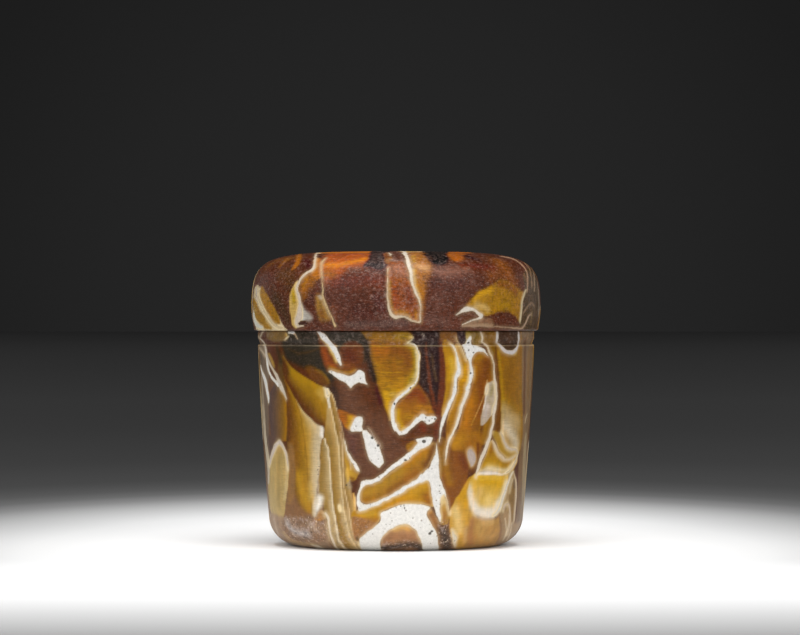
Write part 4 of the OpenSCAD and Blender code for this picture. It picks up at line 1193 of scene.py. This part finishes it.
def lay_side(c):
    """Long chips up one side of the wall; u is measured from the side, towards the back."""
    c.pool([(-24,222), (24,222), (34,190), (40,150), (34,110), (42,70), (38,30), (22,-14), (-22,-14),
        (-25,30), (-21,80), (-26,120), (-23,170)], (112,82,54), 1.6)
    c.blush([(-14,200), (-4,150), (-10,110)], 9, (92,62,48))
    c.pool([(-19,214), (-7,200), (6,172), (13,135), (10,95), (0,108), (-9,140), (-17,170)], (164,118,40), 1)
    c.blush([(-13,196), (0,165), (8,130)], 6, (196,152,66), 0.9)
    c.blush([(-13,170), (-4,130)], 4, (124,82,36))
    c.pool([(10,210), (24,198), (34,164), (31,122), (22,100), (15,130), (17,170)], (148,96,40), 1)
    c.blush([(20,190), (26,160), (24,125)], 6, (120,70,28))
    c.pool([(-13,101), (-6,92), (1,62), (4,32), (0,10), (-10,4), (-18,28), (-21,58), (-18,86)], SAND, 1)
    c.blush([(-10,84), (-9,50), (-8,22)], 6, (186,164,118), 0.9)
    c.pool([(7,92), (20,84), (32,60), (35,30), (27,4), (13,2), (8,30), (5,62)], (190,146,62), 1)
    c.blush([(16,62), (20,34), (20,12)], 8, (214,188,132), 0.9)
    c.pool([(2,122), (9,102), (21,97), (14,87), (3,92), (-6,104)], CHARCOAL, 1)
    c.weathered([(-22,18), (30,18), (30,-8), (-22,-8)], 0.8)
    c.scuffed([(-26,212), (34,212), (34,110), (-24,110)], 0.6)
    c.thread([(-22,200,0.8), (-24,150,1), (-22,110,0.9)], (176,156,124), 0.9)
    c.veins([(-13,214,0.5), (-4,198,1.2), (6,174,1.7), (12.5,145,1.9), (13.5,118,1.5), (10,97,0.6)])
    c.veins([(22,203,0.5), (30,184,1.1), (34.5,158,1.5), (33,130,1.3), (24,104,0.6)], (214,196,172))
    c.veins([(-21,55,0.5), (-19,82,1), (-13,100,1.8), (-6,93,1.3), (1,66,0.9), (4,36,0.5)], (212,198,182))
    c.veins([(6,92,0.6), (19,85,1.7), (31,63,1.9), (35.5,36,1.6), (30,12,1.1), (22,0,0.5)])


def lay_lid_side(c):
    """Chips over one side of the lid; u is measured from the side, towards the back."""
    c.pool([(-20,287), (0,288), (22,286), (30,262), (26,238), (28,212), (-25,212), (-22,240), (-24,265)],
        (104,74,58), 1.8)
    c.blush([(-10,262), (-12,240)], 8, (84,58,50))
    c.pool([(-10,285), (5,281), (17,264), (22,242), (14,226), (1,236), (-8,258)], (168,124,48), 1)
    c.blush([(-3,276), (8,262), (13,242)], 5, (198,154,70), 0.9)
    c.blush([(-4,258), (4,242)], 3.5, (126,84,38))
    c.pool([(-21,233), (-9,237), (1,227), (-5,211), (-20,211)], (150,106,48), 1)
    c.blush([(-14,228), (-10,218)], 4, (196,170,124), 0.9)
    c.veins([(4,284,0.7), (14,271,1.4), (21,250,1.7), (20,234,1.4), (11,223,0.7)], (216,200,176))
    c.veins([(-21,235,0.5), (-9,238,1.1), (1,228,1.2), (-3,214,0.6)], (206,188,160))


def lay_crown_edge(c):
    """Chips of the lid's shoulder, carried on over the edge of its crown."""
    c.pool([(-76,-66), (-50,-86), (-24,-98), (-15,-80), (-20,-52), (-40,-34), (-62,-32), (-78,-44)],
        (178,106,44), 1.6)
    c.blush([(-64,-54), (-46,-66), (-28,-76)], 11, (204,118,22), 0.9)
    c.blush([(-62,-36), (-42,-38), (-24,-54)], 7, (142,70,24), 0.85)
    c.pool([(-24,-99), (-12,-99), (-6,-80), (-10,-58), (-22,-66)], (56,31,20), 1.4)
    c.pool([(12,-101), (33,-95), (31,-66), (20,-40), (6,-42), (1,-70)], (156,104,58), 1.4)
    c.blush([(12,-84), (14,-60)], 6, (190,142,62), 0.9)
    c.blush([(26,-80), (24,-62)], 5, (198,152,104), 0.9)
    c.pool([(30,-97), (51,-87), (57,-64), (46,-44), (33,-52), (26,-76)], (42,36,34), 1.4)
    c.pool([(52,-86), (70,-70), (76,-50), (62,-34), (54,-50)], (156,92,48), 1.4)
    c.blush([(60,-64), (66,-52)], 6, (186,104,34), 0.9)
    c.veins([(8.3,-104,1.4), (8.5,-94,1.8), (8,-84,1.6)], (222,210,194))
    c.thread([(-74,-70,0.9), (-76,-54,0.9), (-70,-34,0.9), (-72,-16,0.5)], (206,178,138), 0.9)


def lay_crown(c):
    """Chips over the middle of the lid's crown."""
    c.glow([(-30,0), (20,10)], 30, (90,58,50))
    c.thread([(-90,20,0.6), (-76,34,1.2), (-60,42,1.4), (-44,62,0.6)], (150,98,60), 0.8, 1.6)
    c.thread([(90,-18,0.6), (78,-4,1.2), (72,14,1.4), (76,34,0.6)], (128,60,38), 0.8, 1.6)
    c.pool([(-62,-10), (-42,-22), (-18,-20), (-5,-2), (-12,20), (-34,34), (-56,26), (-68,8)], (150,108,46),
        1)
    c.blush([(-52,4), (-34,-8), (-18,-6)], 9, (196,150,62), 0.9)
    c.blush([(-48,24), (-26,24)], 7, (118,76,38), 0.85)
    c.pool([(18,-18), (36,-27), (56,-15), (61,6), (47,22), (28,17), (20,2)], (136,84,34), 1)
    c.blush([(32,-14), (46,-8)], 8, (172,118,40), 0.9)
    c.blush([(34,12), (50,8)], 6, (104,58,32), 0.85)
    c.pool([(-22,40), (0,33), (17,44), (11,63), (-12,66)], (76,48,44), 2)
    c.pool([(22,36), (40,30), (58,36), (52,54), (34,60)], (160,116,58), 1)
    c.blush([(34,40), (48,44)], 6, (206,176,118), 0.9)
    c.veins([(8.5,-84,1.6), (5,-66,2), (-3,-48,2.3), (-3,-28,2.1), (5,-8,1.9), (13,10,1.7), (16,28,2),
        (10,48,2.1), (-2,64,1.8), (-8.5,84,1.6)], (222,210,194))
    c.veins([(-66,0,0.7), (-58,-13,1.5), (-42,-23,1.9), (-24,-22,1.8), (-9,-8,1.5), (-7,8,1.2),
        (-13,22,0.6)], (216,202,180))
    c.veins([(34,-28,0.5), (52,-19,1.4), (62,-3,1.9), (57,14,1.5), (44,24,0.7)], (216,202,180))
    c.veins([(20,38,0.5), (31,60,1.4), (50,57,1.5), (60,38,0.7)], (206,186,156))
    c.white([(-36,50), (-29,46), (-23,52), (-28,60), (-36,59)])
    c.bubbles((-30,54,1.4), (-2,-38,1.2))


# Where the chart lies on the glass

HALVINGS = 60


def seen_at(points, outline):
    """Where the camera's line through a chart square meets a turned outline: (angle round it, height).

    The depth of the meeting point starts at the axis, and is found by halving the error each time.
    """
    u, v = points[:, 0], points[:, 1]
    depth = np.zeros(len(u))
    for _ in range(HALVINGS):
        reach = (DISTANCE + depth) / SIGHT
        x = CAMERA_X + (u + CHART_X - PICTURE_W / 2) * reach
        z = EYE_H + (v - CHART_Y + PICTURE_H / 2) * reach
        radius = np.interp(z, outline[:, 1], outline[:, 0])
        depth += 0.5 * (-np.sqrt(np.maximum(radius ** 2 - x ** 2, 0)) - depth)
    return np.arctan2(x, -depth), z


def swayed(flat, spots, seed):
    """Chart squares moved by up to the sway, the same for all that is drawn there."""
    return flat + SWAY * np.column_stack([ripple(spots, SWAY_WAVE, seed), ripple(spots, SWAY_WAVE, seed + 1)])


def colour_attributes(piece, chips):
    """Writes what the chips say into the mesh, with colours turned from display values to light.

    The sheen is taken off, and what is left is kept a little above black and below white.
    """
    count = len(chips.vein)
    for name, colours in (("ground", chips.ground), ("milk", chips.milk)):
        shown = np.clip(colours / 255, 0, 1)
        light = np.where(shown < 0.04045, shown / 12.92, ((shown + 0.055) / 1.055) ** 2.4)
        rgba = np.ones((count, 4))
        rgba[:, :3] = np.clip(light - SHEEN, 0.0015, 0.9)
        piece.data.attributes.new(name, "FLOAT_COLOR", "POINT").data.foreach_set("color", rgba.ravel())
    for name, values in (("vein", chips.vein), ("pit", chips.pit), ("grit", chips.grit),
                         ("scuff", chips.scuff)):
        piece.data.attributes.new(name, "FLOAT", "POINT").data.foreach_set("value", values.astype(float))


def make_box():
    """The box, with its wall laid on the girth chart and its foot and floor on a plan chart."""
    body = Turned(box_profile())
    girth = 2 * math.pi * SHOULDER_R / SQUARE
    wall = body.faces == "wall"
    top_length = body.length[wall][-1]
    up_of = BOX_H / SQUARE - (top_length - body.length) / SQUARE
    ring_up = np.where(wall, up_of, body.profile[:, 1] / SQUARE)
    # The collar takes the wall's chips from just under the ledge, mirrored
    above = np.isin(body.faces, ("ledge", "collar"))
    ring_up = np.where(above, 2 * BOX_H / SQUARE - 3 - body.profile[:, 1] / SQUARE, ring_up)
    spots = np.column_stack([body.angle / (2 * math.pi) * girth, ring_up[body.ring]])
    flat = np.isin(body.face, ("foot", "floor"))
    plan = body.spots[:, :2] / SQUARE - [0, PLAN_DROP]
    spots[flat] = plan[flat]
    chips = Chips(swayed(spots, body.spots, 3), UMBER, girth)
    outline = body.profile[wall]
    lift = up_of[wall]

    def front(points):
        """Girth and height of what the camera sees at a chart square."""
        angle, z = seen_at(points, outline)
        return np.column_stack([angle / (2 * math.pi) * girth, np.interp(z, outline[:, 1], lift)])

    def back(points):
        """The front, turned upside down and half way round."""
        return [girth / 2, UPSIDE_DOWN] - front(points)

    def floor(points):
        """The wall's chart with its middle in the middle of the floor, turned by a 3-4-5 triangle."""
        return (points - [0, 105]) @ np.array([[0.8, 0.6], [-0.6, 0.8]]) - [0, PLAN_DROP]

    for place, lay in ((floor, lay_wall), (back, lay_wall), (front, lay_wall),
                       (lambda points: points + [girth / 4, 0], lay_side),
                       (lambda points: [-girth / 4, UPSIDE_DOWN] - points, lay_side)):
        chips.place = place
        chips.coarse = 1.0 if place is front else BACK_SOFTER
        lay(chips)
    # A painted highlight along the lower edge of the groove, where its step catches the light, and duller
    # glass above it
    groove_edge = up_of[np.argmax(body.profile[:, 1] >= WALL_TOP - 0.001)]
    groove_highlight = np.exp(-((spots[:, 1] - groove_edge) / 0.7) ** 2) * (0.4 + 0.25 * ripple(body.spots, 9, 7))
    chips.tint(slice(None), CREAM, np.clip(groove_highlight, 0, 1))
    chips.grit = np.maximum(chips.grit, 0.4 * ramp(spots[:, 1], groove_edge - 1, groove_edge + 1))
    body.spots -= body.normals * (DENT * ramp(chips.pit, -0.3, 1.2))[:, None]
    return body, chips


def make_lid():
    """The lid, with all of it laid on one round chart that has the crown at its middle."""
    body = Turned(lid_profile())
    crown = body.faces == "crown"
    outer = body.length[-1] - body.length
    inner = body.length * outer[crown][0] / body.length[crown][0]
    from_middle = np.where(crown, outer, inner) / SQUARE
    spread = from_middle[body.ring]
    spots = np.column_stack([spread * np.sin(body.angle), -spread * np.cos(body.angle)])
    chips = Chips(swayed(spots, body.spots, 5), MULBERRY)
    outline = body.profile[crown]
    reach = from_middle[crown]

    def on_disc(angle, z):
        """Place on the round chart: the way from the crown's middle, along the angle."""
        away = np.interp(z, outline[:, 1], reach)
        return np.column_stack([away * np.sin(angle), -away * np.cos(angle)])

    def front(points):
        """Place of what the camera sees at a chart square."""
        angle, z = seen_at(points, outline)
        return on_disc(angle, np.minimum(z, BOX_H + LID_H - CROWN_FLAT))

    def side(points):
        """Place of (squares round the widest line from the side, squares up)."""
        return on_disc(math.pi / 2 + points[:, 0] * SQUARE / LID_R, points[:, 1] * SQUARE)

    for place, lay in ((lambda points: -front(points), lay_lid), (front, lay_lid),
                       (side, lay_lid_side), (lambda points: -side(points), lay_lid_side),
                       (lambda points: points, lay_crown_edge), (lambda points: -points, lay_crown_edge),
                       (lambda points: points, lay_crown)):
        chips.place = place
        lay(chips)
    return body, chips


# Shader maths

class Wire:
    """A value in a shader. Sums and products of wires and numbers add their Math nodes."""

    def __init__(self, sheet, socket):
        self.sheet, self.socket = sheet, socket

    def maths(self, operation, *values):
        return self.sheet.node("ShaderNodeMath", {"operation": operation}, dict(enumerate(values)))

    def __add__(self, other):
        return self.maths("ADD", self, other)

    def __sub__(self, other):
        return self.maths("SUBTRACT", self, other)

    def __rsub__(self, other):
        return self.maths("SUBTRACT", other, self)

    def __mul__(self, other):
        return self.maths("MULTIPLY", self, other)

    __radd__, __rmul__ = __add__, __mul__


class Sheet:
    """A material's or world's node tree."""

    def __init__(self, owner):
        owner.use_nodes = True
        self.tree = owner.node_tree
        self.tree.nodes.clear()

    def node(self, kind, settings=None, values=None, output=0):
        """Adds a node: its settings first, then its inputs by name or number; gives the named output."""
        node = self.tree.nodes.new(kind)
        for name, value in (settings or {}).items():
            if name == "stops":
                ramp_of = node.color_ramp
                while len(ramp_of.elements) < len(value):
                    ramp_of.elements.new(0.5)
                for element, (at, colour) in zip(ramp_of.elements, value):
                    element.position, element.color = at, (*colour, 1)
            else:
                setattr(node, name, value)
        for name, value in (values or {}).items():
            if isinstance(value, Wire):
                self.tree.links.new(value.socket, node.inputs[name])
            else:
                node.inputs[name].default_value = value
        return Wire(self, node.outputs[output]) if len(node.outputs) else node

    def attribute(self, name, output="Fac"):
        """What the mesh holds under a name, as a number or as a colour."""
        return self.node("ShaderNodeAttribute", {"attribute_name": name}, output=output)

    def noise(self, where, scale, detail=2.0, roughness=0.5):
        """Noise between 0 and 1, with this many waves to a millimetre where the place is in them."""
        return self.node("ShaderNodeTexNoise", None,
                         {"Vector": where, "Scale": scale, "Detail": detail, "Roughness": roughness})

    def step(self, value, low, high, start=0.0, stop=1.0):
        """A smooth step of a value from start to stop."""
        return self.node("ShaderNodeMapRange", {"interpolation_type": "SMOOTHSTEP"},
                         {"Value": value, "From Min": low, "From Max": high, "To Min": start, "To Max": stop})

    def stretched(self, where, x, y, z):
        """A place multiplied along each axis: a larger factor makes a pattern finer that way."""
        return self.node("ShaderNodeVectorMath", {"operation": "MULTIPLY"}, {0: where, 1: (x, y, z)})

    def mixed(self, share, first, second, blend="MIX"):
        """Mixes two colours; a colour is a wire or three numbers."""
        pair = [c if isinstance(c, Wire) else (*c, 1) for c in (first, second)]
        return self.node("ShaderNodeMix", {"data_type": "RGBA", "blend_type": blend, "clamp_factor": True},
                         {0: share, 6: pair[0], 7: pair[1]}, output=2)

    def lit(self, colour, gain):
        """A colour made brighter or darker by a wire."""
        return self.node("ShaderNodeHueSaturation", None, {"Value": gain, "Color": colour})


# Colours in the glass, as shares of red, green and blue light
FLOW_TINT = (1.0, 0.80, 0.60)
DULL = (0.52, 0.42, 0.38)
SOIL = (0.10, 0.07, 0.055)
SAND_GRAIN = (0.74, 0.60, 0.44)
# Painted glint: the colour of the bright dashes that stand for the lamps' sparkle in the grain
PAINTED_GLINT = (0.47, 0.30, 0.25)
VEIN_GOLD = (0.74, 0.60, 0.36)
WARM_EDGE = (0.95, 0.89, 0.78)
CLOSED_BUBBLE = (0.26, 0.22, 0.18)
# Painted shade inside open bubbles
OPEN_BUBBLE_SHADE = (0.06, 0.05, 0.035)


def mosaic_glass(name, grain, polish):
    """Fused mosaic glass with a satin polish: chips and veins from the mesh, frayed and pitted here."""
    material = bpy.data.materials.new(name)
    s = Sheet(material)
    where = s.stretched(s.node("ShaderNodeTexCoord", output="Object"), 1000, 1000, 1000)
    ground, milk = s.attribute("ground", "Color"), s.attribute("milk", "Color")
    depth, pit, grit = s.attribute("vein"), s.attribute("pit"), s.attribute("grit")

    fray = s.noise(where, 3.4, 3.0, 0.75)
    vein = s.step(depth + 1.4 * fray - 0.7, -0.45, 0.6)
    # Slow clouds, upright flow lines, fine grain with bright dashes that are painted glints, and level
    # polishing scratches
    cloud = s.noise(where, 0.8, 3.0, 0.55)
    flow = s.noise(s.stretched(where, 1.5, 1.5, 0.3), 1.0, 3.0, 0.6)
    speck = s.noise(where, 2.5, 3.0, 0.85)
    glint_share = s.step(s.noise(s.stretched(where, 1.9, 1.9, 3.8), 1.0, 4.0, 0.9), 0.47, 0.78)
    clump = s.noise(where, 1.5, 3.0, 0.6)
    scratch = s.noise(s.stretched(where, 0.6, 0.6, 4.8), 1.0, 4.0, 0.8)
    pale = s.attribute("ground")
    grain_and_glints = grit * 1.5 + s.step(pale, 0.02, 0.26, 1.0, 0.12) * grain
    scored = s.attribute("scuff") * 2.4 + polish
    glass = s.mixed(s.step(flow, 0.46, 0.66) * 0.28, ground, FLOW_TINT, "MULTIPLY")
    glass = s.mixed(s.step(clump, 0.5, 0.68) * grit * 0.35, glass, DULL)
    glass = s.mixed(s.step(clump, 0.46, 0.34) * grit * 0.45, glass, SOIL)
    grains = s.step(s.noise(where, 2.7, 1.0), 0.63, 0.74)
    glass = s.mixed(grains * s.step(grit, 0.45, 0.9) * 0.5, glass, SAND_GRAIN)
    glass = s.lit(glass, (cloud - 0.5) * 0.5 + (flow - 0.5) * 0.5 + (scratch - 0.5) * scored
                  + (speck - 0.5) * grain_and_glints + 1.02)
    # Painted glints: bright dashes in the grain stand for the lamps' sparkle on a rough surface
    glass = s.mixed(glint_share * (grain_and_glints * 0.21), glass, PAINTED_GLINT)
    # Glass goes pale and golden close to a vein, most where it is light already
    near = s.step(depth, -5.0, 0.4)
    glass = s.mixed(near * near * pale * 2.6, glass, VEIN_GOLD)
    # Milky glass: warmer at its edges, with small closed bubbles
    thick = s.step(depth, 0.2, 1.6)
    edge = s.mixed(1.0, milk, WARM_EDGE, "MULTIPLY")
    white = s.mixed(thick, edge, milk)
    dots = s.node("ShaderNodeTexVoronoi", {"feature": "F1"}, {"Vector": where, "Scale": 1.3})
    some = s.noise(where, 0.7, 1.0)
    dotted = s.step(dots, 0.12, 0.23, 1.0, 0.0) * s.step(some, 0.45, 0.54)
    white = s.lit(white, (speck - 0.5) * 0.6 + 0.91)
    white = s.mixed(dotted * 0.7, white, CLOSED_BUBBLE)
    colour = s.mixed(vein, glass, white)
    # Open bubbles are painted nearly black: painted shade in their hollows
    hole = s.step(pit + 0.8 * fray - 0.4, -0.3, 0.5)
    colour = s.mixed(hole * 0.92, colour, OPEN_BUBBLE_SHADE)

    tall = speck * (grain_and_glints * 0.5 + 0.12) + scratch * (scored * 0.5) - hole * 1.2 - dotted * vein * 0.4
    bump = s.node("ShaderNodeBump", None, {"Strength": 0.4, "Distance": 0.00008, "Height": tall})
    rough = (speck - 0.5) * 0.3 + 0.36 + grit * 0.2
    shader = s.node("ShaderNodeBsdfPrincipled", None,
                    {"Base Color": colour, "Roughness": rough, "Normal": bump, "IOR": 1.5,
                     "Specular IOR Level": 0.22})
    s.node("ShaderNodeOutputMaterial", None, {"Surface": shader})
    return material


# The scene

def build_pieces():
    """Both pieces, each on its own body and in place of its plain solid."""
    for name, make, finish in (("box", make_box, mosaic_glass("box_glass", 0.7, 0.4)),
                               ("lid", make_lid, mosaic_glass("lid_glass", 2.5, 1.4))):
        body, chips = make()
        piece = body.made(f"{name}_shell")
        colour_attributes(piece, chips)
        piece.data.materials.append(finish)
        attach(piece, name)
        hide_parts(name)


# The floor and the backdrop in metres: how far their shades reach, and where the pool of light lies.
# The pool is about half as wide as it is deep.
REACH = 5.0
POOL_Y = -0.008
POOL_SHAPE = (1 / 0.54, 1, 1)
# In front of the glass the pool is even from side to side: (from y, to y, share of x kept, all of x)
POOL_FRONT = (-0.1, -0.03, 0.25, 1.0)
# Distance from the middle of the pool, and how pale the floor is there
POOL = [(0.0, 0.94), (0.06, 0.92), (0.09, 0.82), (0.111, 0.62), (0.135, 0.42), (0.157, 0.226), (0.17, 0.15),
        (0.187, 0.098), (0.207, 0.078), (0.23, 0.061), (0.336, 0.05), (0.562, 0.05), (0.953, 0.058),
        (1.8, 0.054), (5.0, 0.044)]
BACK_Y = 8.0
# The same for the backdrop, from the middle of its foot
BACK = [(0.0, 0.0222), (0.35, 0.019), (0.7, 0.0168), (1.15, 0.0123), (2.0, 0.010)]
# How bright the sky is to the camera and in reflections, and as light on the glass
BACKDROP = 0.0155
SKY = 0.58


def build_stage():
    """A pale floor that darkens away from the glass, as a table does outside its pool of light."""
    for name, corners, centre, spread, shades in (
            ("floor", [(-9, -9, 0), (9, -9, 0), (9, BACK_Y, 0), (-9, BACK_Y, 0)],
             (0, POOL_Y, 0), POOL_SHAPE, POOL),
            ("backdrop", [(-9, BACK_Y, 0), (9, BACK_Y, 0), (9, BACK_Y, 9), (-9, BACK_Y, 9)],
             (0, BACK_Y, 0), (1, 1, 1), BACK)):
        mesh = bpy.data.meshes.new(name)
        mesh.from_pydata(corners, [], [(0, 1, 2, 3)])
        sheet = bpy.data.objects.new(name, mesh)
        bpy.context.scene.collection.objects.link(sheet)
        material = bpy.data.materials.new(f"{name}_paint")
        s = Sheet(material)
        where = s.node("ShaderNodeTexCoord", output="Object")
        off = s.node("ShaderNodeVectorMath", {"operation": "SUBTRACT"}, {0: where, 1: centre})
        if name == "floor":
            ahead = s.node("ShaderNodeSeparateXYZ", None, {0: where}, output="Y")
            even = s.node("ShaderNodeCombineXYZ", None, {"X": s.step(ahead, *POOL_FRONT), "Y": 1.0, "Z": 1.0})
            off = s.node("ShaderNodeVectorMath", {"operation": "MULTIPLY"}, {0: off, 1: even})
        away = s.node("ShaderNodeVectorMath", {"operation": "LENGTH"}, {0: s.stretched(off, *spread)},
                      output="Value")
        shade = s.node("ShaderNodeValToRGB", {"stops": [(at / REACH, (level,) * 3) for at, level in shades]},
                       {0: away * (1 / REACH)})
        if name == "floor":
            shader = s.node("ShaderNodeBsdfDiffuse", None, {"Color": shade})
        else:
            shader = s.node("ShaderNodeEmission", None, {"Color": shade})
        s.node("ShaderNodeOutputMaterial", None, {"Surface": shader})
        mesh.materials.append(material)


def build_light():
    """Soft boxes above and at both sides, and an even sky that the camera sees as a dark backdrop."""
    world = bpy.data.worlds.new("studio")
    bpy.context.scene.world = world
    s = Sheet(world)
    ray = s.node("ShaderNodeLightPath", output="Is Camera Ray")
    gloss = Wire(s, ray.socket.node.outputs["Is Glossy Ray"])
    level = s.step(ray + gloss, 0.4, 0.6, SKY, BACKDROP)
    back = s.node("ShaderNodeBackground", None, {"Color": (1, 1, 1, 1), "Strength": level})
    s.node("ShaderNodeOutputWorld", None, {"Surface": back})
    for name, place, size, power in (("overhead", (0.0, -0.18, 0.6), 0.45, 2.7),
                                     ("left_box", (-0.55, -0.5, 0.35), 0.45, 1.48),
                                     ("right_box", (0.55, -0.55, 0.4), 0.45, 1.75),
                                     ("left_rim", (-0.45, 0.4, 0.12), 0.25, 0.10),
                                     ("right_rim", (0.45, 0.4, 0.12), 0.25, 0.12)):
        lamp = bpy.data.lights.new(name, "AREA")
        lamp.shape, lamp.size, lamp.energy = "SQUARE", size, power
        box = bpy.data.objects.new(name, lamp)
        bpy.context.scene.collection.objects.link(box)
        toward = np.array([0, 0, 0.02]) - place
        flat = math.hypot(toward[0], toward[1])
        box.location = place
        box.rotation_euler = (math.atan2(flat, -toward[2]), 0, math.atan2(-toward[0], toward[1]))


def build_camera():
    """The camera stands level in front, with its axis through the middle of the picture."""
    lens = bpy.data.cameras.new("camera")
    lens.lens, lens.sensor_width = LENS, SENSOR
    lens.clip_start, lens.clip_end = 0.01, 30
    camera = bpy.data.objects.new("camera", lens)
    camera.location = (CAMERA_X * MM, -DISTANCE * MM, EYE_H * MM)
    camera.rotation_euler = (math.pi / 2, 0, 0)
    bpy.context.scene.collection.objects.link(camera)
    bpy.context.scene.camera = camera


build_camera()
build_pieces()
build_stage()
build_light()
bpy.context.scene.view_settings.view_transform = "Standard"
